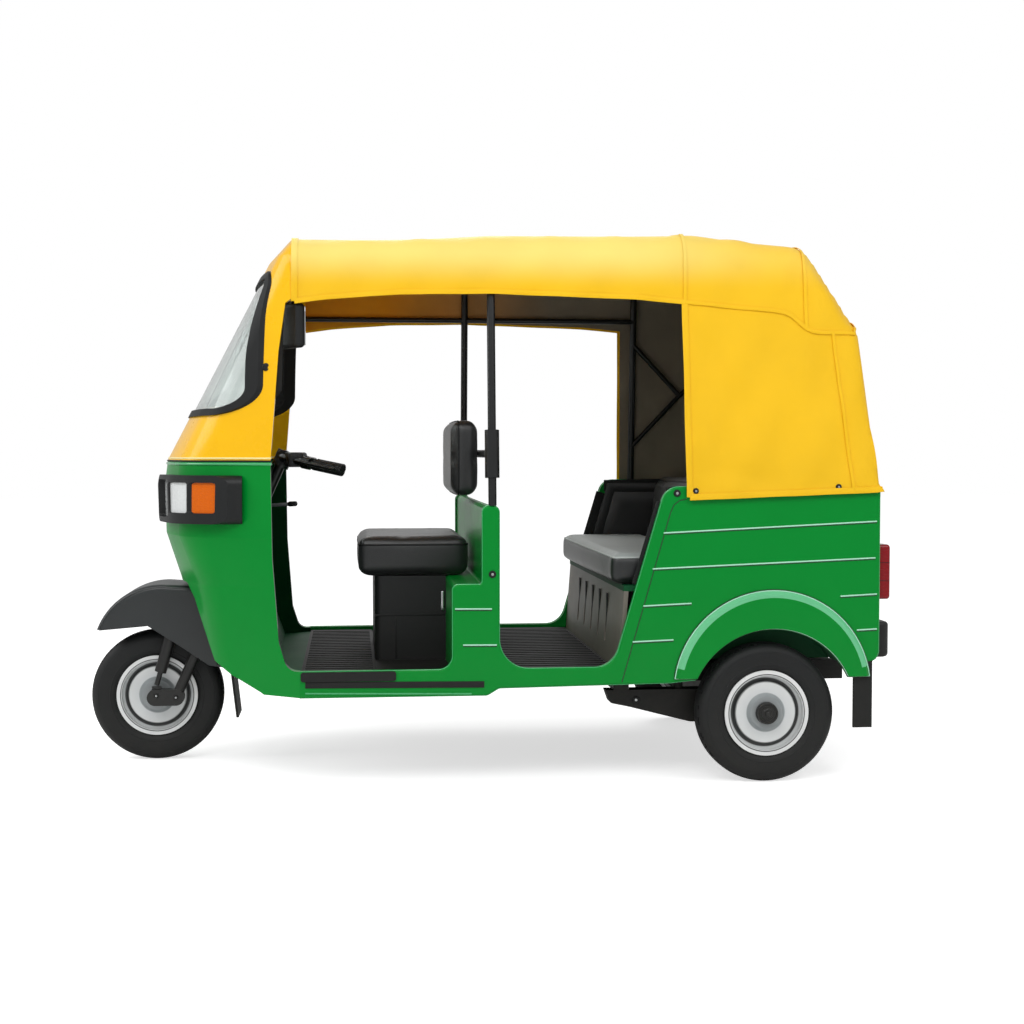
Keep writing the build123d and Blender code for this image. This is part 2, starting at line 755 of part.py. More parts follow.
with BuildPart() as hood_frame:
    for row, ahead, foot_z in hoop_rows:
        station, eave, narrow, crown, radius = roof_rows[row]
        station = station + ahead
        half = side_y - narrow
        foot = (hoop_at(row, foot_z - 6), foot_z - 6)
        corner = (half - hoop_inset, eave - hoop_inset)
        with BuildLine(Plane.YZ.offset(station)) as hoop_path:
            FilletPolyline(
                foot, corner, (-corner[0], corner[1]), (-foot[0], foot[1]), radius=radius - hoop_inset
            )
        start = (station, foot[0], foot[1])
        sweep(disc(start, hoop_path.wire() % 0, tube_radius), path=hoop_path.wire())
        with Locations((station, 0, foot_z - 25)):
            Box(4 * tube_radius, 2 * body_width, 50, mode=Mode.SUBTRACT)
    for side in (1, -1):
        extrude(
            disc((hoop_x, side * rail_tube_y, rail_tube_z), (1, 0, 0), rail_tube_radius),
            amount=hood_front_x - hoop_x,
        )
        low_y = hoop_at(1, backrest_rail_z - 75)
        high_y = hoop_at(1, backrest_rail_z + 75)
        clamp_dir = Vector(0, side * (high_y - low_y), 150)
        extrude(
            disc((post_x, side * low_y, backrest_rail_z - 75), clamp_dir, tube_radius + 10),
            amount=clamp_dir.length,
        )
        for x0, z0, x1, z1 in iron_rows:
            iron_low = Vector(rear_axle_x + x0, side * (hoop_at(2, z0) - 5), z0)
            iron_high = Vector(rear_axle_x + x1, side * (hoop_at(2, z1) - 5), z1)
            iron_dir = iron_high - iron_low
            extrude(disc(iron_low, iron_dir, iron_radius), amount=iron_dir.length)
    rail_half = hoop_at(1, backrest_rail_z)
    extrude(disc((post_x, -rail_half, backrest_rail_z), (0, 1, 0), tube_radius), amount=2 * rail_half)
hood_frame.part.label = "hood_frame"
export_step(hood_frame.part, "parts/hood_frame.step")

# Tail panel with hatch and hinge lugs, and the engine lid hinged at its top
hatch_half = 380
hatch_low_z = 545
hatch_high_z = 850
lid_gap = 6
hinge_x = tail_x - 9
hinge_z = hatch_high_z + 4
hinge_y = 240
pin_radius = 4
knuckle_radius = 8
knuckle_length = 40
lug_length = 14
with BuildPart() as tail_panel:
    with Locations((tail_x + tail_wall / 2, 0, (tail_low_z + belt_z) / 2)):
        Box(tail_wall, 2 * inner_y, belt_z - tail_low_z)
    with BuildSketch(Plane.YZ.offset(tail_x - 50)) as hatch:
        with Locations((0, (hatch_low_z + hatch_high_z) / 2)):
            RectangleRounded(2 * hatch_half, hatch_high_z - hatch_low_z, 35)
    extrude(hatch.sketch, amount=200, mode=Mode.SUBTRACT)
    for side in (1, -1):
        for end in (1, -1):
            lug_y = side * hinge_y + end * (knuckle_length / 2 + 1 + lug_length / 2)
            lug = (
                (tail_x, hatch_high_z),
                (tail_x, hatch_high_z + 24),
                (hinge_x - knuckle_radius, hatch_high_z + 16),
                (hinge_x - knuckle_radius, hinge_z - knuckle_radius),
                (tail_x, hinge_z - knuckle_radius),
            )
            extrude(side_outline(lug, lug_y + lug_length / 2), amount=lug_length)
        pin_half = knuckle_length / 2 + 1 + lug_length
        extrude(
            disc((hinge_x, side * hinge_y - pin_half, hinge_z), (0, 1, 0), pin_radius),
            amount=2 * pin_half,
        )
tail_panel.part.label = "tail_panel"
export_step(tail_panel.part, "parts/tail_panel.step")

lid_top_z = hatch_high_z - lid_gap
lid_low_z = hatch_low_z + lid_gap
with BuildPart() as engine_lid:
    with BuildSketch(Plane.YZ.offset(tail_x)) as lid:
        with Locations((0, (lid_low_z + lid_top_z) / 2)):
            RectangleRounded(2 * (hatch_half - lid_gap), lid_top_z - lid_low_z, 29)
    extrude(lid.sketch, amount=tail_wall - 4)
    with BuildSketch(Plane.YZ.offset(tail_x - 50)) as louvres:
        with Locations((0, (lid_low_z + lid_top_z) / 2 - 10)):
            with GridLocations(300, 30, 2, 6):
                SlotOverall(250, 13)
    extrude(louvres.sketch, amount=200, mode=Mode.SUBTRACT)
    for side in (1, -1):
        leaf = (
            (tail_x, lid_top_z - 34),
            (tail_x, lid_top_z - 2),
            (hinge_x + 2, hinge_z + 2),
            (hinge_x - knuckle_radius + 1, hinge_z),
            (hinge_x - knuckle_radius + 1, lid_top_z - 26),
        )
        extrude(side_outline(leaf, side * hinge_y + knuckle_length / 2), amount=knuckle_length)
        extrude(
            disc((hinge_x, side * hinge_y - knuckle_length / 2, hinge_z), (0, 1, 0), knuckle_radius),
            amount=knuckle_length,
        )
        extrude(
            disc((hinge_x, side * hinge_y - knuckle_length, hinge_z), (0, 1, 0), pin_radius + fit_gap),
            amount=2 * knuckle_length,
            mode=Mode.SUBTRACT,
        )
engine_lid.part.label = "engine_lid"
export_step(engine_lid.part, "parts/engine_lid.step")

# Bumper, tail lamps and rear mud flaps
bumper_low_z = 400
bumper_high_z = 515
with BuildPart() as rear_bumper:
    with Locations((tail_x - tail_lamp_depth / 2, 0, (bumper_low_z + bumper_high_z) / 2)):
        Box(tail_lamp_depth, 2 * side_y - 34, bumper_high_z - bumper_low_z)
    fillet(rear_bumper.edges().filter_by(Axis.Z).group_by(Axis.X)[0], 30)
    fillet(rear_bumper.faces().sort_by(Axis.X)[0].edges().filter_by(Axis.Y), 12)
rear_bumper.part.label = "rear_bumper"
export_step(rear_bumper.part, "parts/rear_bumper.step")

lamp_width = 74
with BuildPart() as tail_lamps:
    for side in (1, -1):
        with Locations((tail_x - tail_lamp_depth / 2, side * (side_y - 60), 677)):
            Box(tail_lamp_depth, lamp_width, 178)
    fillet(tail_lamps.edges().filter_by(Axis.X), 12)
    fillet(tail_lamps.edges().group_by(Axis.X)[0], 9)
tail_lamps.part.label = "tail_lamps"
export_step(tail_lamps.part, "parts/tail_lamps.step")

flap_low_z = 175
flap_rear_x = rear_axle_x - 345
with BuildPart() as rear_flaps:
    flap_plan = (
        (flap_rear_x, wheel_y - 45),
        (flap_rear_x + 12, wheel_y - 45),
        (flap_rear_x + 12, side_y - 13),
        (flap_rear_x + 62, side_y - 13),
        (flap_rear_x + 62, side_y - 3),
        (flap_rear_x, side_y - 3),
    )
    extrude(plan_outline(flap_plan, flap_low_z), amount=tail_low_z + 6 - flap_low_z)
    add(side_panel_left.part, mode=Mode.SUBTRACT)
    mirror(about=Plane.XZ)
rear_flaps.part.label = "rear_flaps"
export_step(rear_flaps.part, "parts/rear_flaps.step")

# Driver's mirror on its stalk under the left hood rail
mirror_x = front_axle_x - 485
mirror_y = side_y - 107
mirror_z = 1462
with BuildPart() as mirrors:
    with Locations(Pos(mirror_x, mirror_y, mirror_z) * Rot(0, 0, 35)):
        Box(34, 120, 140)
    fillet(mirrors.edges(), 14)
    foot = Vector(mirror_x, mirror_y, mirror_z + 60)
    top = Vector(mirror_x - 25, rail_tube_y, rail_tube_z - rail_tube_radius + 1)
    extrude(disc(foot, top - foot, 7), amount=(top - foot).length)
    add(hood_frame.part, mode=Mode.SUBTRACT)
mirrors.part.label = "mirrors"
export_step(mirrors.part, "parts/mirrors.step")

# Engine as one plain block between the rails
engine_half = rail_y - rail_width / 2
with BuildPart() as engine_block:
    with Locations((rear_axle_x - 40, 0, 262)):
        Box(320, 2 * engine_half, 150)
    with Locations((rear_axle_x - 90, 0, 430)):
        Box(260, 360, 200)
engine_block.part.label = "engine_block"
export_step(engine_block.part, "parts/engine_block.step")

# Trailing arms with bearing housings, and the spring and damper units above them
arm_inner_y = house_inner_y - 66
arm_outer_y = house_inner_y - 8
arm_side = (
    (rear_axle_x + 505, rail_z),
    (rear_axle_x + 490, rail_z - 42),
    (rear_axle_x + 425, rail_z - 56),
    (rear_axle_x + 225, 180),
    (rear_axle_x, 180),
    (rear_axle_x, 268),
    (rear_axle_x + 170, rail_z),
)
housing_radius = 52
spring_x = rear_axle_x + 260
spring_y = (arm_inner_y + arm_outer_y) / 2
with BuildPart() as rear_suspension:
    extrude(side_outline(arm_side, arm_outer_y, (0, 12, 40, 60, 0, 0, 40)), amount=arm_outer_y - arm_inner_y)
    extrude(
        disc((rear_axle_x, arm_inner_y, tyre_radius), (0, 1, 0), housing_radius),
        amount=arm_outer_y - arm_inner_y,
    )
    extrude(
        disc((rear_axle_x, arm_inner_y - 50, tyre_radius), (0, 1, 0), shaft_radius + fit_gap),
        amount=200,
        mode=Mode.SUBTRACT,
    )
    extrude(disc((spring_x, spring_y, rail_z - 10), (0, 0, 1), 16), amount=deck_z - 8 - rail_z)
    extrude(disc((spring_x, spring_y, rail_z + 30), (0, 0, 1), 28), amount=220)
    mirror(about=Plane.XZ)
rear_suspension.part.label = "rear_suspension"
export_step(rear_suspension.part, "parts/rear_suspension.step")


def wheel_plane(x, y, side):
    """Plane through a wheel's axis: local x is the radius, local y points outboard."""
    return Plane(origin=(x, y, tyre_radius), x_dir=(1, 0, 0), z_dir=(0, 0, side))


def radius_outline(plane, points, radii=0):
    """Closed outline of (radius, outboard) points through a wheel's axis."""
    with BuildSketch(plane) as flat:
        with BuildLine():
            FilletPolyline(*points, radius=radii, close=True)
        make_face()
    return flat.sketch


# Wheel sections
tyre_half = tyre_width / 2
seat_radius = rim_radius - 11
flange_half = tyre_half - 5
tyre_section = (
    (seat_radius + fit_gap, flange_half - 7),
    (rim_radius + 1, flange_half - 7),
    (rim_radius + 12, tyre_half - 3),
    (tyre_radius - 38, tyre_half),
    (tyre_radius - 12, tyre_half - 8),
    (tyre_radius, tyre_half - 26),
    (tyre_radius, -tyre_half + 26),
    (tyre_radius - 12, -tyre_half + 8),
    (tyre_radius - 38, -tyre_half),
    (rim_radius + 12, -tyre_half + 3),
    (rim_radius + 1, -flange_half + 7),
    (seat_radius + fit_gap, -flange_half + 7),
)
rim_wall = 6
barrel_section = (
    (seat_radius - rim_wall, flange_half),
    (rim_radius, flange_half),
    (rim_radius, flange_half - 6),
    (seat_radius, flange_half - 6),
    (seat_radius, -flange_half + 6),
    (rim_radius, -flange_half + 6),
    (rim_radius, -flange_half),
    (seat_radius - rim_wall, -flange_half),
)
dish_out = 20


def dish_section(bore):
    """Pressed disc between the barrel and the hub."""
    return (
        (seat_radius - rim_wall, dish_out),
        (seat_radius - 20, dish_out),
        (seat_radius - 30, dish_out + 10),
        (62, dish_out + 10),
        (52, dish_out + 20),
        (bore, dish_out + 20),
        (bore, dish_out + 12),
        (48, dish_out + 12),
        (58, dish_out + 2),
        (seat_radius - 34, dish_out + 2),
        (seat_radius - 24, dish_out - 8),
        (seat_radius - rim_wall, dish_out - 8),
    )


def drum_section(bore, inboard, radius):
    """Brake drum and hub behind the disc."""
    return (
        (bore, dish_out + 12),
        (40, dish_out + 12),
        (40, 0),
        (radius, 0),
        (radius, inboard),
        (bore, inboard),
    )


# columns: name, axle x, centre y, side of the disc, bore, inboard face of the drum
wheel_rows = (
    ("front", front_axle_x, 0, 1, axle_radius + fit_gap, -40),
    ("rear_left", rear_axle_x, wheel_y, 1, shaft_radius + fit_gap, house_inner_y - wheel_y + 2),
    ("rear_right", rear_axle_x, -wheel_y, -1, shaft_radius + fit_gap, house_inner_y - wheel_y + 2),
)
for wheel_name, wheel_x, centre_y, side, bore, inboard in wheel_rows:
    spin_axis = Axis((wheel_x, centre_y, tyre_radius), (0, 1, 0))
    section_plane = wheel_plane(wheel_x, centre_y, side)
    with BuildPart() as tyre:
        revolve(radius_outline(section_plane, tyre_section), axis=spin_axis)
    tyre.part.label = wheel_name + "_tyre"
    export_step(tyre.part, "parts/" + wheel_name + "_tyre.step")
    with BuildPart() as rim:
        revolve(radius_outline(section_plane, barrel_section), axis=spin_axis)
        revolve(radius_outline(section_plane, dish_section(bore)), axis=spin_axis)
        revolve(radius_outline(section_plane, drum_section(bore, inboard, 80)), axis=spin_axis)
    rim.part.label = wheel_name + "_rim"
    export_step(rim.part, "parts/" + wheel_name + "_rim.step")

# Drive shafts with hub caps, turning with the rear wheels
hub_face_y = wheel_y + dish_out + 20
for wheel_name, side in (("rear_left", 1), ("rear_right", -1)):
    with BuildPart() as shaft:
        extrude(
            disc((rear_axle_x, side * (engine_half + fit_gap), tyre_radius), (0, side, 0), shaft_radius),
            amount=hub_face_y - engine_half - fit_gap,
        )
        extrude(disc((rear_axle_x, side * hub_face_y, tyre_radius), (0, side, 0), 36), amount=14)
        fillet(shaft.edges().group_by(Axis.Y)[-1 if side > 0 else 0], 6)
    shaft.part.label = wheel_name + "_shaft"
    export_step(shaft.part, "parts/" + wheel_name + "_shaft.step")

# Steering column, one-sided front fork with leading link and axle, and its damper
crown_z = 508
column_top_z = 1015
collar_height = 34
with BuildPart() as steering_column:
    extrude(
        disc(steer_at(crown_z + collar_height), steer_dir, column_radius),
        amount=(column_top_z - crown_z - collar_height) / cos(radians(rake)),
    )
steering_column.part.label = "steering_column"
export_step(steering_column.part, "parts/steering_column.step")

link_half = 28
with BuildPart() as front_fork:
    extrude(disc(steer_at(crown_z, -24), (0, 1, 0), 24), amount=leg_y + 24 + leg_radius)
    extrude(
        disc(steer_at(crown_z), steer_dir, column_radius), amount=collar_height / cos(radians(rake))
    )
    leg_foot = Vector(*steer_at(tyre_radius, leg_y))
    leg_top = Vector(*steer_at(crown_z, leg_y))
    extrude(disc(leg_foot, leg_top - leg_foot, leg_radius), amount=(leg_top - leg_foot).length)
    with BuildSketch(Plane.XZ.offset(-leg_y - leg_radius)) as link:
        with Locations((front_axle_x - link_length / 2, tyre_radius)):
            SlotCenterToCenter(link_length, 2 * link_half)
    extrude(link.sketch, amount=2 * leg_radius)
    damper_low = Vector(front_axle_x - 4, leg_y, tyre_radius + 42)
    damper_high = Vector(front_axle_x - 62, leg_y, 470)
    with BuildSketch(Plane.XZ.offset(-leg_y - 10)) as lug:
        with Locations((damper_low.X, damper_low.Z - 24)):
            Rectangle(30, 40)
    extrude(lug.sketch, amount=20)
    extrude(disc(damper_high, Vector(*steer_at(crown_z, leg_y)) - damper_high, 13), amount=135)
    damper_dir = damper_high - damper_low
    extrude(disc(damper_low, damper_dir, 9), amount=damper_dir.length)
    extrude(disc(damper_low + damper_dir * 0.22, damper_dir, 20), amount=damper_dir.length * 0.62)
    extrude(disc((front_axle_x, -58, tyre_radius), (0, 1, 0), axle_radius), amount=leg_y + 58)
    extrude(disc((front_axle_x, -58, tyre_radius), (0, 1, 0), 18), amount=12)
front_fork.part.label = "front_fork"
export_step(front_fork.part, "parts/front_fork.step")


# Front mudguard: pressed shell with a rounded crown, open below
def guard_outline(inset, y):
    """Side outline of the mudguard, moved inward by an inset."""
    drop = 6 * inset
    tip = (front_axle_x + 192 - inset, 462 - drop)
    shoulder = (front_axle_x + 90 - 0.7 * inset, 583 - 0.7 * inset)
    crest = (front_axle_x - 31, 615 - inset)
    bend = (front_axle_x - 236 + inset, 562 - inset)
    with BuildSketch(Plane.XZ.offset(-y)) as flat:
        with BuildLine():
            ThreePointArc(tip, shoulder, crest)
            Polyline(
                crest,
                (front_axle_x - 130, 608 - inset),
                bend,
                (front_axle_x - 252 + inset, 328 - drop),
                (front_axle_x - 186, 338 - drop),
                (front_axle_x - 97, 400 - drop),
                (front_axle_x + 20, 476 - drop),
                tip,
            )
        make_face()
        fillet(flat.vertices().sort_by_distance(Vertex(*bend))[0], guard_bend - inset)
    return flat.sketch


def from_front_axle(point):
    """Distance of a point from the line of the front axle."""
    return (point - Vector(front_axle_x, 0, tyre_radius)).cross(Vector(0, 1, 0)).length


with BuildPart() as guard_space:
    extrude(guard_outline(guard_wall, guard_half - guard_wall), amount=2 * (guard_half - guard_wall))

with BuildPart() as front_mudguard:
    extrude(guard_outline(0, guard_half), amount=2 * guard_half)
    flank_edges = front_mudguard.edges().filter_by(lambda edge: abs(edge.center().Y) > guard_half - 1)
    fillet(flank_edges.filter_by(lambda edge: from_front_axle(edge @ 0.5) > guard_reach), guard_crown)
    add(guard_space.part, mode=Mode.SUBTRACT)
    extrude(
        disc(steer_at(crown_z), steer_dir, column_radius + fit_gap), amount=200, mode=Mode.SUBTRACT
    )
front_mudguard.part.label = "front_mudguard"
export_step(front_mudguard.part, "parts/front_mudguard.step")

flap_side = (
    (front_axle_x - 249, 345),
    (front_axle_x - 258, 345),
    (front_axle_x - 280, 148),
    (front_axle_x - 272, 148),
)
with BuildPart() as front_flap:
    extrude(side_outline(flap_side, 78), amount=156)
    add(front_mudguard.part, mode=Mode.SUBTRACT)
front_flap.part.label = "front_flap"
export_step(front_flap.part, "parts/front_flap.step")

# Handlebar with clamp, instrument pod and levers, and its two grips
bar_drop = 12
bar_z = column_top_z + 32
bar_origin = Vector(*steer_at(bar_z))
bar_back = Vector(-cos(radians(bar_drop)), 0, -sin(radians(bar_drop)))
bar_plane = Plane(origin=bar_origin, x_dir=(0, 1, 0), z_dir=bar_back.cross(Vector(0, 1, 0)) * -1)
# columns: across, back
bar_rows = ((330, 205), (262, 92), (165, 0), (-165, 0), (-262, 92), (-330, 205))
grip_length = 112
with BuildPart() as handlebar:
    with BuildLine(bar_plane) as bar_path:
        FilletPolyline(*bar_rows, radius=45)
    sweep(disc(bar_path.wire() @ 0, bar_path.wire() % 0, bar_radius), path=bar_path.wire())
    extrude(disc(steer_at(column_top_z), steer_dir, 30), amount=58)
    extrude(disc(bar_origin - Vector(0, 60, 0), (0, 1, 0), 26), amount=120)
    for side in (1, -1):
        end = bar_origin + Vector(0, side * 330, 0) + bar_back * 205
        elbow = bar_origin + Vector(0, side * 262, 0) + bar_back * 92
        along = (elbow - end).normalized()
        perch = end + along * (grip_length + 8)
        extrude(disc(perch, along, 20), amount=30)
        lever_out = Vector(0, side, 0) * 38 - bar_back * 16
        root = perch + along * 15
        extrude(disc(root, lever_out, 6), amount=lever_out.length)
        tip = root + lever_out
        extrude(disc(tip, along * -1, 6), amount=130)
handlebar.part.label = "handlebar"
export_step(handlebar.part, "parts/handlebar.step")

with BuildPart() as handlebar_grips:
    for side in (1, -1):
        end = bar_origin + Vector(0, side * 330, 0) + bar_back * 205
        elbow = bar_origin + Vector(0, side * 262, 0) + bar_back * 92
        along = (elbow - end).normalized()
        extrude(disc(end - along * 6, along, 18), amount=grip_length)
        extrude(disc(end, along, bar_radius + fit_gap), amount=grip_length, mode=Mode.SUBTRACT)
handlebar_grips.part.label = "handlebar_grips"
export_step(handlebar_grips.part, "parts/handlebar_grips.step")
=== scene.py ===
"""Dresses the auto rickshaw: paint, hood cloth, seats, tyres, trim, light and camera."""
from math import atan2, cos, exp, hypot, pi, radians, sin, sqrt

import bmesh
import bpy
from mathutils import Matrix, Vector


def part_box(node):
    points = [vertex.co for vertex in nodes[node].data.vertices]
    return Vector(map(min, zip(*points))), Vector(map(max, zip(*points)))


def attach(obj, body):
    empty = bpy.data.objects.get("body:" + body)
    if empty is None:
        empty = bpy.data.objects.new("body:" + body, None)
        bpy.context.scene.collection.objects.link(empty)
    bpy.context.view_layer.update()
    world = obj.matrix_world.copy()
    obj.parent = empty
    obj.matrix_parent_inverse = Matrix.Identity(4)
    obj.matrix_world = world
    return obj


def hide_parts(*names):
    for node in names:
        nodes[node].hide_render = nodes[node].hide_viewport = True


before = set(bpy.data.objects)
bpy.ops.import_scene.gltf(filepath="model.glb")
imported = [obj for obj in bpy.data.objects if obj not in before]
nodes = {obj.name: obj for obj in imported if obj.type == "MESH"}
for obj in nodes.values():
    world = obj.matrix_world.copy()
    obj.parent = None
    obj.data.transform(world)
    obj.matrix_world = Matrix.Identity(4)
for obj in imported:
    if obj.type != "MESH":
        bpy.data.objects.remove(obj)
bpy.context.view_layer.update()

# Places read from the frame, in metres
front_low, front_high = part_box("front_tyre")
rear_low, rear_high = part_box("rear_left_tyre")
front_axle_x = (front_low.x + front_high.x) / 2
rear_axle_x = (rear_low.x + rear_high.x) / 2
wheel_y = (rear_low.y + rear_high.y) / 2
tyre_radius = (front_high.z - front_low.z) / 2
side_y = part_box("side_panel_left")[1].y
upward, sideways = (0, 0, 1), (0, 1, 0)


# Shader node helpers
def tone(code):
    """Scene colour of a hex paint code."""
    parts = [int(code[i : i + 2], 16) / 255 for i in (1, 3, 5)]
    return [p / 12.92 if p <= 0.04045 else ((p + 0.055) / 1.055) ** 2.4 for p in parts] + [1]


def put(tree, kind, settings=None, **inputs):
    """Adds a node, sets its settings, and sets or links its inputs by name or number."""
    made = tree.nodes.new(kind)
    for key, value in (settings or {}).items():
        setattr(made, key, value)
    for key, value in inputs.items():
        socket = made.inputs[int(key[1:])] if key[0] == "_" else made.inputs[key.replace("_", " ")]
        if isinstance(value, bpy.types.NodeSocket):
            tree.links.new(value, socket)
        else:
            socket.default_value = value
    return made


def calc(tree, operation, first, second, clamp=False):
    """Result of a sum on two values."""
    settings = {"operation": operation, "use_clamp": clamp}
    return put(tree, "ShaderNodeMath", settings, _0=first, _1=second).outputs[0]


def spread_over(tree, value, low, high, start=0.0, end=1.0, kind="LINEAR"):
    """A value moved from one range to another."""
    return put(tree, "ShaderNodeMapRange", {"interpolation_type": kind}, Value=value,
               From_Min=low, From_Max=high, To_Min=start, To_Max=end).outputs[0]


def mixed(tree, share, first, second, blend="MIX"):
    """Two colours mixed by a share."""
    settings = {"data_type": "RGBA", "blend_type": blend}
    return put(tree, "ShaderNodeMix", settings, _0=share, _6=first, _7=second).outputs[2]


def noise(tree, place, scale, detail, rough=0.5):
    """Cloudy noise from 0 to 1."""
    made = put(tree, "ShaderNodeTexNoise", Vector=place, Scale=scale, Detail=detail, Roughness=rough)
    return made.outputs["Fac"]


def waves(tree, place, direction, scale, distortion=0.0):
    """Even waves along one axis, from 0 to 1."""
    made = put(tree, "ShaderNodeTexWave", {"bands_direction": direction},
               Vector=place, Scale=scale, Distortion=distortion)
    return made.outputs["Fac"]


def axes(tree, vector):
    """A vector's three parts by name."""
    return put(tree, "ShaderNodeSeparateXYZ", Vector=vector).outputs


def place_in(tree):
    """Object coordinates of the piece."""
    return put(tree, "ShaderNodeTexCoord").outputs["Object"]


def new_group(name, takes, gives):
    """Starts a node group with named inputs and outputs."""
    group = bpy.data.node_groups.new(name, "ShaderNodeTree")
    sockets = group.interface
    for label, kind, value in takes:
        sockets.new_socket(label, in_out="INPUT", socket_type="NodeSocket" + kind).default_value = value
    for label, kind in gives:
        sockets.new_socket(label, in_out="OUTPUT", socket_type="NodeSocket" + kind)
    return group, group.nodes.new("NodeGroupInput").outputs, group.nodes.new("NodeGroupOutput").inputs


# Effects that several finishes share
def colour_drift_group():
    """Slow uneven fading over a painted or dyed surface."""
    group, given, out = new_group(
        "colour_drift", [("Colour", "Color", (1, 1, 1, 1)), ("Amount", "Float", 0.1), ("Scale", "Float", 3)],
        [("Colour", "Color")],
    )
    cloud = noise(group, place_in(group), given["Scale"], 5.0, 0.6)
    shade = spread_over(group, cloud, 0.3, 0.7, 0.72, 1.12)
    grey = put(group, "ShaderNodeCombineColor", Red=shade, Green=shade, Blue=shade).outputs[0]
    group.links.new(mixed(group, given["Amount"], given["Colour"], grey, "MULTIPLY"), out["Colour"])
    return group


def road_dust_group():
    """Pale dust that thickens towards the road."""
    group, given, out = new_group(
        "road_dust",
        [("Colour", "Color", (1, 1, 1, 1)), ("Dust", "Color", tone("#8a8172")),
         ("Top", "Float", 0.7), ("Amount", "Float", 0.2)],
        [("Colour", "Color"), ("Mask", "Float")],
    )
    place = place_in(group)
    rise = spread_over(group, axes(group, place)["Z"], given["Top"], 0.0)
    patch = calc(group, "MULTIPLY", rise, noise(group, place, 14.0, 6.0, 0.7))
    mask = calc(group, "MULTIPLY", patch, given["Amount"], clamp=True)
    group.links.new(mixed(group, mask, given["Colour"], given["Dust"]), out["Colour"])
    group.links.new(mask, out["Mask"])
    return group


def handling_group():
    """Roughness that varies where hands, cloths and rain have been."""
    group, given, out = new_group(
        "handling", [("Base", "Float", 0.3), ("Spread", "Float", 0.1), ("Scale", "Float", 8)],
        [("Roughness", "Float")],
    )
    smear = noise(group, place_in(group), given["Scale"], 7.0, 0.65)
    spread = calc(group, "MULTIPLY", calc(group, "SUBTRACT", smear, 0.5), given["Spread"])
    group.links.new(calc(group, "ADD", spread, given["Base"], clamp=True), out["Roughness"])
    return group


def relief_group(name, scale, height):
    """Group that puts out a relief's height, worked out from a place and a scale."""
    group, given, out = new_group(name, [("Scale", "Float", scale)], [("Height", "Float")])
    group.links.new(height(group, place_in(group), given["Scale"]), out["Height"])
    return group


def peel(group, place, scale):
    """Orange-peel or moulded grain."""
    return noise(group, place, scale, 3.0)


def pebbles(group, place, scale):
    """Pebbled grain of coated seat cloth and leather."""
    cells = put(group, "ShaderNodeTexVoronoi", {"feature": "DISTANCE_TO_EDGE"}, Vector=place, Scale=scale)
    soft = spread_over(group, cells.outputs["Distance"], 0.0, 0.25)
    return calc(group, "ADD", soft, noise(group, place, 22.0, 5.0))


def weave(group, place, scale):
    """Fine base weave that shows through a coated hood cloth."""
    warp, weft = (waves(group, place, direction, scale, 0.4) for direction in ("X", "Z"))
    slack = calc(group, "MULTIPLY", noise(group, place, 7.0, 3.0, 0.45), 3.0)
    return calc(group, "ADD", calc(group, "MULTIPLY", warp, weft), slack)


def moulded_ribs(group, place, scale):
    """Moulded ribs of a lamp lens."""
    return calc(group, "MAXIMUM", *(waves(group, place, direction, scale) for direction in ("Y", "Z")))


def wheel_rings_group():
    """Colours of a wheel's pressed rings by distance from its axle, with painted shade in its groove and hub
    recess.
    """
    group, given, out = new_group(
        "wheel_rings", [("Axle X", "Float", 0.0), ("Axle Z", "Float", 0.225)], [("Colour", "Color")]
    )
    axle = put(group, "ShaderNodeCombineXYZ", X=given["Axle X"], Z=given["Axle Z"]).outputs[0]
    kind = "ShaderNodeVectorMath"
    away = put(group, kind, {"operation": "SUBTRACT"}, _0=place_in(group), _1=axle).outputs[0]
    flat = put(group, kind, {"operation": "MULTIPLY"}, _0=away, _1=(1, 0, 1)).outputs[0]
    far = put(group, kind, {"operation": "LENGTH"}, _0=flat).outputs["Value"]
    ramp_end = 0.14
    ramp = put(group, "ShaderNodeValToRGB", Fac=calc(group, "DIVIDE", far, ramp_end))
    stops = ramp.color_ramp.elements
    # columns: radius in metres, colour
    # grey up to 0.062 m is painted shade in the hub's recess, and the dark band from 0.101 to 0.111 m is
    # painted shade in the groove
    rows = (
        (0.040, "#8f9496"), (0.062, "#9aa0a2"), (0.065, "#d9dcdd"), (0.096, "#e4e6e6"), (0.101, "#2a2d2e"),
        (0.111, "#202324"), (0.114, "#c9cccd"), (0.1225, "#d9dbdb"), (0.1235, "#3c4042"),
        (0.1255, "#3c4042"), (0.1268, "#eceded"),
    )
    for number, (radius, colour) in enumerate(rows):
        stop = stops[number] if number < 2 else stops.new(radius / ramp_end)
        stop.position = radius / ramp_end
        stop.color = tone(colour)
    group.links.new(ramp.outputs["Color"], out["Colour"])
    return group


drift, dusty, handled = colour_drift_group(), road_dust_group(), handling_group()
fine_grain = relief_group("fine_grain", 200, peel)
hide_grain = relief_group("hide_grain", 160, pebbles)
cloth_weave = relief_group("cloth_weave", 900, weave)
lens_ribs = relief_group("lens_ribs", 60, moulded_ribs)
wheel_rings = wheel_rings_group()


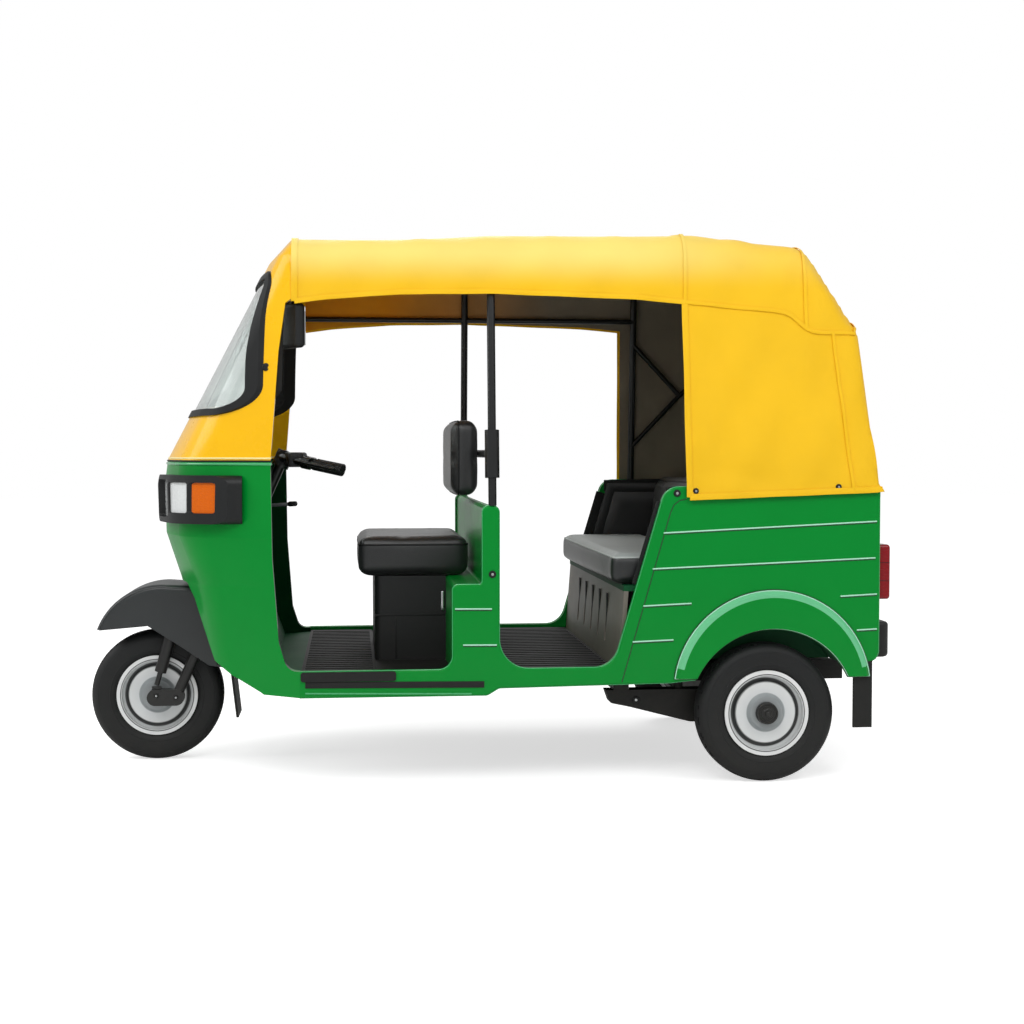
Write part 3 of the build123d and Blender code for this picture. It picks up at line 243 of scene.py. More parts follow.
# Finishes
def surface(name, colour, grain=fine_grain, grain_scale=350.0, bump=0.03, rough=0.3, spread=0.1,
            fade=0.5, fade_scale=3.0, dust=0.35, dust_top=0.7, metallic=0.0, coat=0.0, sheen=0.0, spec=0.5):
    """Finish with uneven colour, dust low down, handled gloss and a grain."""
    made = bpy.data.materials.new(name)
    made.use_nodes = True
    tree = made.node_tree
    shader = tree.nodes["Principled BSDF"]
    kind = "ShaderNodeGroup"
    faded = put(tree, kind, {"node_tree": drift}, Colour=tone(colour), Amount=fade, Scale=fade_scale)
    dirt = put(tree, kind, {"node_tree": dusty}, Colour=faded.outputs[0], Top=dust_top, Amount=dust)
    gloss = put(tree, kind, {"node_tree": handled}, Base=rough, Spread=spread, Scale=9.0)
    relief = put(tree, kind, {"node_tree": grain}, Scale=grain_scale)
    raised = put(tree, "ShaderNodeBump", Strength=bump, Distance=0.001, Height=relief.outputs[0])
    dulled = calc(tree, "ADD", gloss.outputs[0], dirt.outputs["Mask"], clamp=True)
    tree.links.new(dirt.outputs["Colour"], shader.inputs["Base Color"])
    tree.links.new(dulled, shader.inputs["Roughness"])
    tree.links.new(raised.outputs[0], shader.inputs["Normal"])
    for label, value in (
        ("Metallic", metallic), ("Coat Weight", coat), ("Coat Roughness", 0.06), ("Sheen Weight", sheen),
        ("Specular IOR Level", spec),
    ):
        shader.inputs[label].default_value = value
    return made


def pane(name, colour, rough, see_through):
    """Clear pane with faint smears."""
    made = surface(name, colour, fine_grain, 30.0, 0.02, rough, spread=0.06, fade=0.1, dust=0.1)
    shader = made.node_tree.nodes["Principled BSDF"]
    shader.inputs["Transmission Weight"].default_value = see_through
    shader.inputs["IOR"].default_value = 1.3
    return made


def lens(name, colour, **values):
    """Ribbed lamp lens."""
    return surface(name, colour, lens_ribs, bump=0.5, spread=0.06, **values)


def recolour(material, colour):
    """Gives a finish a colour that changes over the surface."""
    tree = material.node_tree
    faded = next(n for n in tree.nodes if n.type == "GROUP" and n.node_tree == drift)
    tree.links.new(colour, faded.inputs["Colour"])


def ringed_silver(name, axle_x):
    """Silver paint with a wheel's rings and painted shade in its groove and hub recess."""
    made = surface(name, "#d4d6d6", grain_scale=500.0, bump=0.05, spread=0.2, fade=0.2, dust=0.12,
                   dust_top=0.45, metallic=0.15, coat=0.3)
    rings = put(made.node_tree, "ShaderNodeGroup", {"node_tree": wheel_rings},
                Axle_X=axle_x, Axle_Z=tyre_radius)
    recolour(made, rings.outputs[0])
    return made


# Paint
body_green, hood_yellow = "#008a30", "#fbc60f"
green_paint = surface("green_paint", body_green, coat=0.06, fade=0.15, dust=0.04, spec=0.12)
# same green as the body, with painted shade added on the cowl's inner faces
cowl_paint_and_shade = surface("cowl_paint_and_shade", body_green, coat=0.06, fade=0.15, dust=0.04, spec=0.12)
dark_green_paint = surface("dark_green_paint", "#0a4a2a", bump=0.05, rough=0.55, fade=0.4, dust=0.1, spec=0.15)
# lighter green painted as the highlight on rolled lips and edges
edge_highlight_green = surface("edge_highlight_green", "#3fae6a", rough=0.26, coat=0.5, fade=0.2, dust=0.05)
# pale green painted as the highlight on the wings' shoulders
shoulder_highlight_green = surface("shoulder_highlight_green", "#6fcb94", fade=0.3, dust=0.03, spec=0.3)
# dark green painted as the shadow in gaps, creases and under the pressed lines
shadow_green = surface("shadow_green", "#02481d", rough=0.4, fade=0.2, dust=0.1)
# pale mint painted as highlights on the wings' edges and the pressed lines
highlight_mint = surface("highlight_mint", "#b4ecd0", rough=0.35, fade=0.15, dust=0.05)
yellow_paint = surface("yellow_paint", "#fcc003", rough=0.28, coat=0.25, fade=0.15, dust=0.05, spec=0.2)
# pale yellow painted as the highlight on the foot of the screen surround
highlight_yellow = surface("highlight_yellow", "#fff0a8", rough=0.35, fade=0.15, dust=0.05)
brown_paint = surface("brown_paint", "#726c64", grain_scale=300.0, bump=0.05, rough=0.42, spread=0.15, dust=0.3)
black_paint = surface("black_paint", "#0f1112", grain_scale=320.0, bump=0.04, rough=0.34, spread=0.15,
                      coat=0.2, dust=0.1, spec=0.4)
# Cloth and leather
yellow_vinyl = surface("yellow_vinyl", hood_yellow, cloth_weave, 500.0, 0.25, 0.5, fade=0.22, fade_scale=2.2,
                       dust=0.0, sheen=0.02, spec=0.25)
hood_lining = surface("hood_lining", "#5a4a2c", cloth_weave, 500.0, 0.3, 0.8, dust=0.0)
black_leather = surface("black_leather", "#1b1d1e", hide_grain, 260.0, 0.18, 0.36, spread=0.14, fade=0.4,
                        dust=0.0, sheen=0.1, spec=0.6)
grey_leather = surface("grey_leather", "#a0a7a5", hide_grain, 260.0, 0.22, 0.46, spread=0.14, fade=0.4,
                       dust=0.0, sheen=0.1)
pale_piping = surface("pale_piping", "#b4bbb8", hide_grain, 400.0, 0.1, 0.4, fade=0.2, dust=0.0)
# Rubber, plastic and metal
black_rubber = surface("black_rubber", "#101213", grain_scale=420.0, bump=0.15, rough=0.6, spread=0.15,
                       dust=0.08, spec=0.35)
tyre_rubber = surface("tyre_rubber", "#121415", grain_scale=500.0, bump=0.3, rough=0.58, spread=0.15,
                      dust=0.06, dust_top=0.4, spec=0.4)
black_plastic = surface("black_plastic", "#151718", grain_scale=900.0, bump=0.2, rough=0.46, spread=0.15,
                        dust=0.08, spec=0.35)
guard_plastic = surface("guard_plastic", "#24282a", grain_scale=900.0, bump=0.15, rough=0.36, spread=0.15,
                        dust=0.05, spec=0.6)
black_steel = surface("black_steel", "#141617", grain_scale=260.0, bump=0.2, rough=0.5, spread=0.25, fade=0.7,
                      dust=0.15, metallic=0.2, spec=0.35)
cast_metal = surface("cast_metal", "#6f7274", grain_scale=180.0, bump=0.4, rough=0.55, spread=0.3, fade=0.7,
                     dust=0.5, metallic=0.8)
bright_steel = surface("bright_steel", "#c9cccd", grain_scale=600.0, bump=0.05, rough=0.24, spread=0.2,
                       fade=0.3, metallic=1.0)
mirror_silver = surface("mirror_silver", "#e8ebec", grain_scale=30.0, bump=0.01, rough=0.04, spread=0.04,
                        fade=0.05, dust=0.0, metallic=1.0)
front_silver = ringed_silver("front_silver", front_axle_x)
rear_silver = ringed_silver("rear_silver", rear_axle_x)
# Glass and lenses
lamp_glass = lens("lamp_glass", "#dfe2e2", grain_scale=24.0, rough=0.12, fade=0.2, dust=0.05, coat=1.0)
amber_lens = lens("amber_lens", "#dd6500", grain_scale=40.0, rough=0.14, fade=0.2, dust=0.03,
                  coat=0.2, spec=0.2)
red_lens = lens("red_lens", "#8a0712", grain_scale=40.0, rough=0.14, fade=0.25, dust=0.03,
                coat=0.25, spec=0.25)
clear_glass = pane("clear_glass", "#eef4f2", 0.03, 0.95)
clear_sheet = pane("clear_sheet", "#e8ebe6", 0.12, 0.9)


def tint_lining():
    """Lining ochre over the driver and dark over the bench."""
    tree = hood_lining.node_tree
    ahead = spread_over(tree, axes(tree, place_in(tree))["X"], rear_axle_x + 0.55, rear_axle_x + 1.2)
    recolour(hood_lining, mixed(tree, ahead, tone("#8d8270"), tone("#f0a010")))


def paint_hood_highlight():
    """Hood cloth painted paler on its roof as a painted highlight, most over the driver."""
    tree = yellow_vinyl.node_tree
    place = axes(tree, place_in(tree))
    high = spread_over(tree, place["Z"], 1.58, 1.70, kind="SMOOTHSTEP")
    ahead = spread_over(tree, place["X"], rear_axle_x - 0.1, rear_axle_x + 0.5, 0.25, 0.8, "SMOOTHSTEP")
    pale = calc(tree, "MULTIPLY", high, ahead)
    # pale yellow #fdea86 is a painted highlight on the roof
    recolour(yellow_vinyl, mixed(tree, pale, tone(hood_yellow), tone("#fdea86")))


def paint_cowl_shade():
    """Cowl with painted shade: a darker green where it faces into the cab."""
    tree = cowl_paint_and_shade.node_tree
    coords = put(tree, "ShaderNodeTexCoord").outputs
    place, facing = axes(tree, coords["Object"]), axes(tree, coords["Normal"])
    sides = spread_over(tree, calc(tree, "MULTIPLY", place["Y"], facing["Y"]), -0.10, -0.02, 1.0, 0.0)
    front = spread_over(tree, facing["X"], -0.6, -0.3, 1.0, 0.0)
    inner = calc(tree, "MAXIMUM", sides, front)
    # 04361a is painted shade on the cowl's inner faces
    recolour(cowl_paint_and_shade, mixed(tree, inner, tone(body_green), tone("#04361a")))


tint_lining()
paint_hood_highlight()
paint_cowl_shade()

finishes = {
    cowl_paint_and_shade: ("front_cowl",),
    green_paint: ("side_panel_left", "side_panel_right", "rear_wings", "partition", "tail_panel", "engine_lid"),
    dark_green_paint: ("toe_board", "rear_deck"),
    yellow_paint: ("windscreen_surround",),
    black_rubber: (
        "windscreen_seal", "step_strips", "floor_mats", "rear_flaps", "front_flap", "handlebar_grips",
    ),
    black_plastic: ("headlamp_bezels", "dash_shelf", "driver_seat_box", "rear_bumper", "mirrors"),
    guard_plastic: ("front_mudguard",),
    black_paint: (
        "hood_frame", "handlebar", "steering_column", "front_fork", "rear_left_shaft", "rear_right_shaft",
    ),
    black_steel: ("floor_pan", "frame_rails", "rear_suspension"),
    brown_paint: ("seat_riser",),
    cast_metal: ("engine_block",),
    front_silver: ("front_rim",),
    rear_silver: ("rear_left_rim", "rear_right_rim"),
    lamp_glass: ("headlamp_lenses",),
    amber_lens: ("indicator_lenses",),
    red_lens: ("tail_lamps",),
    clear_glass: ("windscreen_glass",),
    clear_sheet: ("rear_window",),
}
for material, names in finishes.items():
    for name in names:
        held = nodes[name].data.materials
        held.clear()
        held.append(material)

# Camera at the photograph's place
camera_place = Vector((0.4194, 5.4042, 1.066))
camera_yaw, camera_pitch = radians(5.98), radians(2.249)
level_reach = cos(camera_pitch)
gaze = Vector((-sin(camera_yaw) * level_reach, -cos(camera_yaw) * level_reach, -sin(camera_pitch)))
camera = bpy.data.objects.new("camera", bpy.data.cameras.new("camera"))
camera.data.lens = 53.72
camera.data.sensor_width = 36
camera.location = camera_place
camera.rotation_euler = gaze.to_track_quat("-Z", "Y").to_euler()
bpy.context.scene.collection.objects.link(camera)
bpy.context.scene.camera = camera


# Studio: white world for the eye, soft light for the object, pale floor with a shadow
def white_world(scene):
    """World that looks white and lights the object more softly."""
    world = bpy.data.worlds.new("studio")
    scene.world = world
    world.use_nodes = True
    tree = world.node_tree
    sky = tree.nodes["Background"]
    path = put(tree, "ShaderNodeLightPath").outputs
    seen = calc(tree, "ADD", path["Is Camera Ray"], path["Is Transmission Ray"], clamp=True)
    sky.inputs["Color"].default_value = (1, 1, 1, 1)
    tree.links.new(spread_over(tree, seen, 0.0, 1.0, 0.55, 1.0), sky.inputs["Strength"])


def softboxes(scene):
    """Four wide lamps round the object."""
    # columns: place, target, width, height, watts
    for number, (place, target, width, height, watts) in enumerate((
        ((1.4, 4.2, 4.4), (0, 0, 0.8), 3.5, 2.0, 95),
        ((-2.6, 3.2, 3.6), (-0.4, 0, 0.9), 2.5, 2.0, 40),
        ((3.6, 0.4, 2.6), (0.6, 0, 0.8), 2.0, 2.0, 35),
        ((0, -3.5, 4.0), (0, 0, 1.0), 3.0, 2.0, 50),
    )):
        lamp = bpy.data.lights.new(f"softbox_{number}", "AREA")
        lamp.shape = "RECTANGLE"
        lamp.size, lamp.size_y, lamp.energy = width, height, watts
        holder = bpy.data.objects.new(lamp.name, lamp)
        holder.location = place
        holder.rotation_euler = (Vector(target) - Vector(place)).to_track_quat("-Z", "Y").to_euler()
        scene.collection.objects.link(holder)


def paper_floor():
    """Pale floor that glows a little to the eye."""
    bpy.ops.mesh.primitive_plane_add(size=60)
    floor = bpy.context.object
    floor.name = "floor"
    paper = bpy.data.materials.new("studio_paper")
    paper.use_nodes = True
    tree = paper.node_tree
    base = tree.nodes["Principled BSDF"].inputs
    for label, value in (
        ("Base Color", (0.86, 0.86, 0.86, 1)), ("Roughness", 0.9), ("Specular IOR Level", 0.0),
        ("Emission Color", (1, 1, 1, 1)),
    ):
        base[label].default_value = value
    path = put(tree, "ShaderNodeLightPath").outputs
    tree.links.new(calc(tree, "MULTIPLY", path["Is Camera Ray"], 0.62), base["Emission Strength"])
    floor.data.materials.append(paper)


bpy.context.scene.view_settings.view_transform = "Standard"
white_world(bpy.context.scene)
softboxes(bpy.context.scene)
paper_floor()


# Modelling helpers
def clear_selection():
    """Leaves edit mode with nothing selected."""
    if bpy.context.object and bpy.context.object.mode != "OBJECT":
        bpy.ops.object.mode_set(mode="OBJECT")
    bpy.ops.object.select_all(action="DESELECT")


def work_on(piece):
    """Makes a piece the only selected and active one."""
    clear_selection()
    piece.select_set(True)
    bpy.context.view_layer.objects.active = piece


def edit_all(piece):
    """Opens a piece in edit mode with all of it selected."""
    work_on(piece)
    bpy.ops.object.mode_set(mode="EDIT")
    bpy.ops.mesh.select_all(action="SELECT")


def settle(piece, name, material, body, angle=35):
    """Names a finished piece, sets its place into its mesh, and gives it its finish and body."""
    work_on(piece)
    bpy.ops.object.transform_apply(location=True, rotation=True, scale=True)
    bpy.ops.object.shade_smooth_by_angle(angle=radians(angle))
    piece.name = name
    piece.data.name = name
    if material:
        piece.data.materials.clear()
        piece.data.materials.append(material)
    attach(piece, body)
    return piece


def apply_all(piece):
    """Applies a piece's modifiers in order."""
    work_on(piece)
    for modifier in list(piece.modifiers):
        bpy.ops.object.modifier_apply(modifier=modifier.name)


def add_modifier(piece, kind, **values):
    """Adds a modifier with its values."""
    made = piece.modifiers.new(kind.lower(), kind)
    for key, value in values.items():
        setattr(made, key, value)
    return made


def mesh_piece(name, points, faces):
    """New object from points and faces, for the hood's sheet and strips."""
    data = bpy.data.meshes.new(name)
    data.from_pydata([tuple(p) for p in points], [], faces)
    piece = bpy.data.objects.new(name, data)
    bpy.context.scene.collection.objects.link(piece)
    return piece


def joined(pieces):
    """Joins pieces into the first."""
    clear_selection()
    for piece in pieces:
        piece.select_set(True)
    bpy.context.view_layer.objects.active = pieces[0]
    bpy.ops.object.join()
    return pieces[0]


def copied(piece, place):
    """Copy of a piece at another place, with its own mesh."""
    work_on(piece)
    bpy.ops.object.duplicate()
    twin = bpy.context.object
    twin.location = place
    return twin


def mirrored(piece):
    """Copy of a piece on the other side of the vehicle, after the piece's place is set into its mesh."""
    work_on(piece)
    bpy.ops.object.transform_apply(location=True, rotation=True, scale=True)
    twin = copied(piece, (0, 0, 0))
    twin.data.transform(Matrix.Diagonal((1, -1, 1, 1)))
    edit_all(twin)
    bpy.ops.mesh.flip_normals()
    bpy.ops.object.mode_set(mode="OBJECT")
    return twin


def both_sides(made, name, material, body, angle=35):
    """One finished piece from the left side's parts and their mirrored copy."""
    left = joined(made)
    return settle(joined([left, mirrored(left)]), name, material, body, angle)


def pick_faces(piece, wanted):
    """Selects the faces that a test on the face wants, and stays in edit mode."""
    work_on(piece)
    bpy.ops.object.mode_set(mode="EDIT")
    bpy.ops.mesh.select_mode(type="FACE")
    bpy.ops.mesh.select_all(action="DESELECT")
    mesh = bmesh.from_edit_mesh(piece.data)
    for face in mesh.faces:
        face.select_set(wanted(face))
    bmesh.update_edit_mesh(piece.data)


def meet(piece, start, direction):
    """Point where a straight look from a start meets a piece."""
    hit, spot, _, _ = piece.ray_cast(Vector(start), Vector(direction))
    if not hit:
        raise ValueError(f"nothing of {piece.name} is met")
    return spot


def at_rear(x, y, z):
    """Point at a distance ahead of the rear axle."""
    return Vector((rear_axle_x + x, y, z))


# Hood cloth: roof, side curtains and rear wall as one sheet over the hoops
hood_half, hood_foot_z = side_y + 0.0135, 0.9
# columns: station ahead of the rear axle, eave height, eave half width, crown height
hoops = (
    (1.503, 1.730, 0.572, 1.762),
    (0.888, 1.750, 0.575, 1.782),
    (0.220, 1.764, 0.578, 1.796),
    (-0.140, 1.725, 0.580, 1.757),
    (-0.303, 1.478, 0.592, 1.492),
)
# columns: station ahead of the rear axle, height of the cloth's edge or seam
seam_line = (
    (1.503, 1.534), (1.408, 1.548), (1.176, 1.566), (0.888, 1.571), (0.419, 1.557),
    (0.270, 1.543), (-0.077, 1.513), (-0.133, 1.447), (-0.303, 1.452),
)
curtain_top_x, curtain_foot_x = 0.270, 0.262
wall_foot_x, wall_foot_z = -0.370, 0.957
curtain_front_z, curtain_rear_z = 0.922, 0.946
cloth_wall = 0.0025
eave_round, eave_steps, crown_steps = 0.085, 8, 24
roof_half_rows, curtain_rows = 34, 26
roof_pitch, curtain_start, curtain_columns = 0.025, 50, 26
rear_bend, curtain_seam = 68, 22
curtain_run = curtain_top_x - hoops[-1][0]
roof_stations = [hoops[0][0] - roof_pitch * i for i in range(curtain_start)]
roof_stations += [curtain_top_x - curtain_run * i / curtain_columns for i in range(curtain_columns + 1)]


def along(table, x, column):
    """Value of a table's column at a station, straight between its rows."""
    rows = sorted(table)
    for (near, far) in zip(rows, rows[1:]):
        if x <= far[0] or far is rows[-1]:
            share = (x - near[0]) / (far[0] - near[0])
            return near[column] + max(0.0, min(1.0, share)) * (far[column] - near[column])


def hood_section(x):
    """Left half of the hood's section at a station, from its foot to its crown."""
    eave, half, crown = (along(hoops, x, column) for column in (1, 2, 3))
    foot, corner = Vector((hood_half, hood_foot_z)), Vector((half, eave))
    sag = crown - eave
    radius = (half * half + sag * sag) / (2 * sag)
    arc = [Vector((half * (1 - i / crown_steps), 0)) for i in range(crown_steps + 1)]
    for point in arc:
        point.y = crown - radius + sqrt(radius * radius - point.x * point.x)
    start = corner + (foot - corner).normalized() * eave_round
    end = next(p for p in arc if corner.x - p.x >= eave_round)
    bend = []
    for step in range(1, eave_steps):
        t = step / eave_steps
        bend.append(start.lerp(corner, t).lerp(corner.lerp(end, t), t))
    return [foot, start, *bend, *[p for p in arc if p.x <= end.x]]


def point_at_height(line, z):
    """Point where a section's flank passes a height."""
    for low, high in zip(line, line[1:]):
        if high.y >= z:
            return low.lerp(high, (z - low.y) / (high.y - low.y))


def evenly(line, count):
    """Points spread evenly along a broken line."""
    runs = [(b - a).length for a, b in zip(line, line[1:])]
    step, points, done, i = sum(runs) / count, [line[0]], 0.0, 0
    for k in range(1, count):
        while done + runs[i] < k * step:
            done += runs[i]
            i += 1
        points.append(line[i].lerp(line[i + 1], (k * step - done) / runs[i]))
    return points + [line[-1]]


def roof_ring(x):
    """Points across the roof at a station, from the left seam over the crown to the right seam."""
    line = hood_section(x)
    edge = point_at_height(line, min(along(seam_line, x, 1), line[-1].y - 0.03))
    upper = [edge] + [p for p in line if p.y > edge.y + 1e-5]
    half = evenly(upper, roof_half_rows)
    return half + [Vector((-p.x, p.y)) for p in reversed(half[:-1])]


def crease(x, z, line):
    """Depth of one soft fold at a place on a side."""
    x0, z0, x1, z1, width, depth = line
    run = Vector((x1 - x0, z1 - z0))
    share = ((x - x0) * run.x + (z - z0) * run.y) / run.length_squared
    if not -0.1 < share < 1.1:
        return 0.0
    away = abs((x - x0) * run.y - (z - z0) * run.x) / run.length
    return depth * exp(-((away / width) ** 2)) * max(0.0, sin(pi * (share + 0.1) / 1.2))


# soft folds on the hood's sides, columns: x and z of both ends, half width, depth
side_folds = (
    (0.26, 1.50, 0.05, 1.12, 0.030, 0.007),
    (0.24, 1.40, 0.12, 0.98, 0.028, 0.006),
    (-0.10, 1.46, -0.02, 1.05, 0.034, 0.007),
    (-0.16, 1.44, -0.24, 1.02, 0.030, 0.006),
    (0.25, 1.02, -0.10, 0.96, 0.022, 0.005),
    (-0.30, 1.40, -0.20, 1.20, 0.026, 0.006),
    (1.46, 1.74, 1.38, 1.57, 0.022, 0.006),
    (1.40, 1.72, 1.20, 1.60, 0.030, 0.005),
    (0.86, 1.72, 0.60, 1.62, 0.034, 0.005),
    (0.24, 1.75, -0.02, 1.58, 0.034, 0.008),
    (-0.14, 1.71, -0.05, 1.54, 0.026, 0.007),
    (-0.16, 1.70, -0.28, 1.50, 0.030, 0.008),
)


def laid(points, spot):
    """Adds a point and gives its number."""
    points.append(spot)
    return len(points) - 1


def lay_roof(points, faces):
    """Roof from its front hem to the top of the rear wall, as rings of point numbers."""
    rings = [[laid(points, at_rear(x, p.x, p.y)) for p in roof_ring(x)] for x in roof_stations]
    for near, far in zip(rings, rings[1:]):
        for j in range(len(near) - 1):
            faces.append((near[j], near[j + 1], far[j + 1], far[j]))
    return rings


def lay_curtain(points, faces, tops, side):
    """Side curtain hung from the roof's edge, as columns of point numbers."""
    columns = []
    for i, top in enumerate(tops):
        share = i / (len(tops) - 1)
        head = points[top]
        foot_x = rear_axle_x + curtain_foot_x + share * (wall_foot_x - curtain_foot_x)
        foot_z = curtain_front_z + share * (curtain_rear_z - curtain_front_z)
        column = [top]
        for k in range(1, curtain_rows + 1):
            z = head.z + k / curtain_rows * (foot_z - head.z)
            lift = (z - hood_foot_z) / (head.z - hood_foot_z)
            y = hood_half + lift * (abs(head.y) - hood_half)
            lean = max(0.0, min(1.0, (head.z - z) / (head.z - wall_foot_z)))
            column.append(laid(points, Vector((head.x + lean * (foot_x - head.x), side * y, z))))
        columns.append(column)
    for near, far in zip(columns, columns[1:]):
        for k in range(curtain_rows):
            quad = (near[k], far[k], far[k + 1], near[k + 1])
            faces.append(quad if side > 0 else quad[::-1])
    return columns


def lay_back(points, faces, top, left, right):
    """Rear wall between both curtains, as rows of point numbers."""
    count = len(top) - 1
    grid = [top]
    for k in range(1, curtain_rows + 1):
        row = [left[k]]
        for j in range(1, count):
            rule = points[left[k]].lerp(points[right[k]], j / count)
            base = points[left[0]].lerp(points[right[0]], j / count)
            row.append(laid(points, rule + (points[top[j]] - base) * (1 - k / curtain_rows) ** 2))
        grid.append(row + [right[k]])
    for k in range(curtain_rows):
        for j in range(count):
            faces.append((grid[k][j], grid[k][j + 1], grid[k + 1][j + 1], grid[k + 1][j]))
    return grid


def hood_cloth():
    """Sheet of the whole hood, cut out for the rear window, with its places kept for seams and hems."""
    points, faces = [], []
    rings = lay_roof(points, faces)
    walls = {}
    for side, edge in ((1, 0), (-1, -1)):
        walls[side] = lay_curtain(points, faces, [ring[edge] for ring in rings[curtain_start:]], side)
    grid = lay_back(points, faces, rings[-1], walls[1][-1], walls[-1][-1])
    window_low, window_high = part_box("rear_window")
    overlap, wall_front_x = 0.006, rear_axle_x - 0.29
    kept = []
    for face in faces:
        middle = sum((points[i] for i in face), Vector()) / len(face)
        in_wall = middle.x < wall_front_x and abs(middle.y) < window_high.y - overlap
        if not (in_wall and window_low.z + overlap < middle.z < window_high.z - overlap):
            kept.append(face)
    sheet = mesh_piece("hood_cloth", points, kept)
    edit_all(sheet)
    bpy.ops.mesh.normals_make_consistent(inside=False)
    bpy.ops.object.mode_set(mode="OBJECT")
    return sheet, rings, walls, grid


hood, hood_rings, hood_walls, hood_grid = hood_cloth()


def soften_hood():
    """Rounds the sheet's corners, lets it hang in soft folds and sag between the hoops."""
    side_ripple, roof_sag, roof_ripple, wall_ripple = 0.004, 0.010, 0.002, 0.005
    mesh = bmesh.new()
    mesh.from_mesh(hood.data)
    mesh.verts.ensure_lookup_table()
    rim = {v.index for v in mesh.verts if v.is_boundary}
    inner = [v for v in mesh.verts if v.index not in rim]
    for _ in range(4):
        bmesh.ops.smooth_vert(mesh, verts=inner, factor=0.4, use_axis_x=True, use_axis_y=True, use_axis_z=True)
    mesh.normal_update()
    spans = [row[0] for row in hoops]
    for v in mesh.verts:
        x, z = v.co.x - rear_axle_x, v.co.z
        move = 0.0
        if abs(v.normal.y) > 0.35:
            move -= sum(crease(x, z, fold) for fold in side_folds)
            move += side_ripple * sin(x * 31 + z * 17 + v.co.y) * (0.3 if v.index in rim else 1)
        elif v.normal.z > 0.5:
            for far, near in zip(spans, spans[1:]):
                if near < x < far and near > -0.2:
                    move -= roof_sag * sin(pi * (x - near) / (far - near)) * (1 - (v.co.y / 0.62) ** 2)
            move += roof_ripple * sin(v.co.y * 19 + x * 7)
        else:
            move += wall_ripple * sin(v.co.y * 9 + z * 6) * (0.2 if v.index in rim else 1)
        v.co += v.normal * move
    mesh.to_mesh(hood.data)
    mesh.free()


soften_hood()
hood_spots = [v.co.copy() for v in hood.data.vertices]
hood_normals = [v.normal.copy() for v in hood.data.vertices]


def welt(track, half_width):
    """Sewn strip along a run of the hood cloth's points."""
    lift = 0.003
    spots = [hood_spots[i] + hood_normals[i] * lift for i in track]
    points, faces = [], []
    for k, spot in enumerate(spots):
        run = spots[min(k + 1, len(spots) - 1)] - spots[max(k - 1, 0)]
        across = hood_normals[track[k]].cross(run).normalized() * half_width
        points += [spot - across, spot + across]
        if k:
            faces.append((2 * k - 2, 2 * k - 1, 2 * k + 1, 2 * k))
    strip = mesh_piece("welt", points, faces)
    add_modifier(strip, "SOLIDIFY", thickness=0.002, offset=0)
    add_modifier(strip, "BEVEL", width=0.0008, segments=2)
    apply_all(strip)
    strip.data.materials.append(yellow_vinyl)
    return strip


def hood_welts():
    """Welts along the seams and hems of the hood cloth."""
    # columns: run of points, half width
    tracks = [
        (hood_rings[curtain_start], 0.006), (hood_rings[rear_bend], 0.006), (hood_rings[0], 0.010),
        (hood_rings[-1], 0.006), (hood_grid[-1], 0.010),
    ]
    for side, edge in ((1, 0), (-1, -1)):
        tracks += [
            ([ring[edge] for ring in hood_rings[: curtain_start + 1]], 0.008),
            ([ring[edge] for ring in hood_rings[curtain_start:]], 0.006),
            (hood_walls[side][0], 0.010),
            ([column[-1] for column in hood_walls[side]], 0.010),
            (hood_walls[side][curtain_seam], 0.005),
        ]
    seams = joined([welt(track, half_width) for track, half_width in tracks])
    return settle(seams, "hood_welts", None, "body")


welts = hood_welts()
hood.data.materials.append(yellow_vinyl)
hood.data.materials.append(hood_lining)
add_modifier(hood, "SOLIDIFY", thickness=cloth_wall, offset=-1, material_offset=1)
apply_all(hood)
settle(hood, "hood_cloth", None, "body", angle=60)
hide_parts("hood_roof", "hood_curtain")


# Seats: stuffed covers, blown up from slightly smaller forms
def pull_in(pad, centre, size, swell):
    """Draws a cushion's edges in, so that its faces are crowned."""
    for v in pad.data.vertices:
        for axis in range(3):
            bow = 1.0
            for a in range(3):
                if a != axis:
                    bow *= 1 - (2 * (v.co[a] - centre[a]) / size[a]) ** 2 * 0.9
            pull = swell * (1 - max(0.0, min(1.0, bow)))
            v.co[axis] -= pull * (2 * (v.co[axis] - centre[axis]) / size[axis])


def blow_up(pad, low, high, swell):
    """Blows a cover up by a cloth simulation, no further than its swell and its box."""
    blown_frames = 20
    start = [v.co.copy() for v in pad.data.vertices]
    cloth = add_modifier(pad, "CLOTH")
    cloth.settings.use_pressure = True
    cloth.settings.uniform_pressure_force = 4
    cloth.settings.effector_weights.gravity = 0
    for number in range(1, blown_frames + 1):
        bpy.context.scene.frame_set(number)
    apply_all(pad)
    bpy.context.scene.frame_set(1)
    for v, was in zip(pad.data.vertices, start):
        step = v.co - was
        if step.length > swell:
            v.co = was + step * (swell / step.length)
        for axis in range(3):
            v.co[axis] = max(low[axis], min(high[axis], v.co[axis]))


def stuffed(name, low, high, round_corner, swell, material, slot, replaced, lean=None):
    """Cushion that fills a box: a rounded block whose cover is pulled in at its edges and blown up."""
    centre, size = (low + high) / 2, high - low
    clear_selection()
    bpy.ops.mesh.primitive_cube_add(size=1, location=centre, scale=size)
    pad = bpy.context.object
    bpy.ops.object.transform_apply(location=True, rotation=False, scale=True)
    add_modifier(pad, "BEVEL", width=round_corner, segments=4, limit_method="ANGLE")
    add_modifier(pad, "REMESH", mode="VOXEL", voxel_size=max(0.007, min(size) / 14))
    add_modifier(pad, "SMOOTH", factor=0.5, iterations=4)
    apply_all(pad)
    pull_in(pad, centre, size, swell)
    blow_up(pad, low, high, swell)
    if lean:
        for v in pad.data.vertices:
            v.co.x += (v.co.z - low.z) * lean
    settle(pad, name, material, "body", angle=60)
    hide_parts(replaced)
    return pad


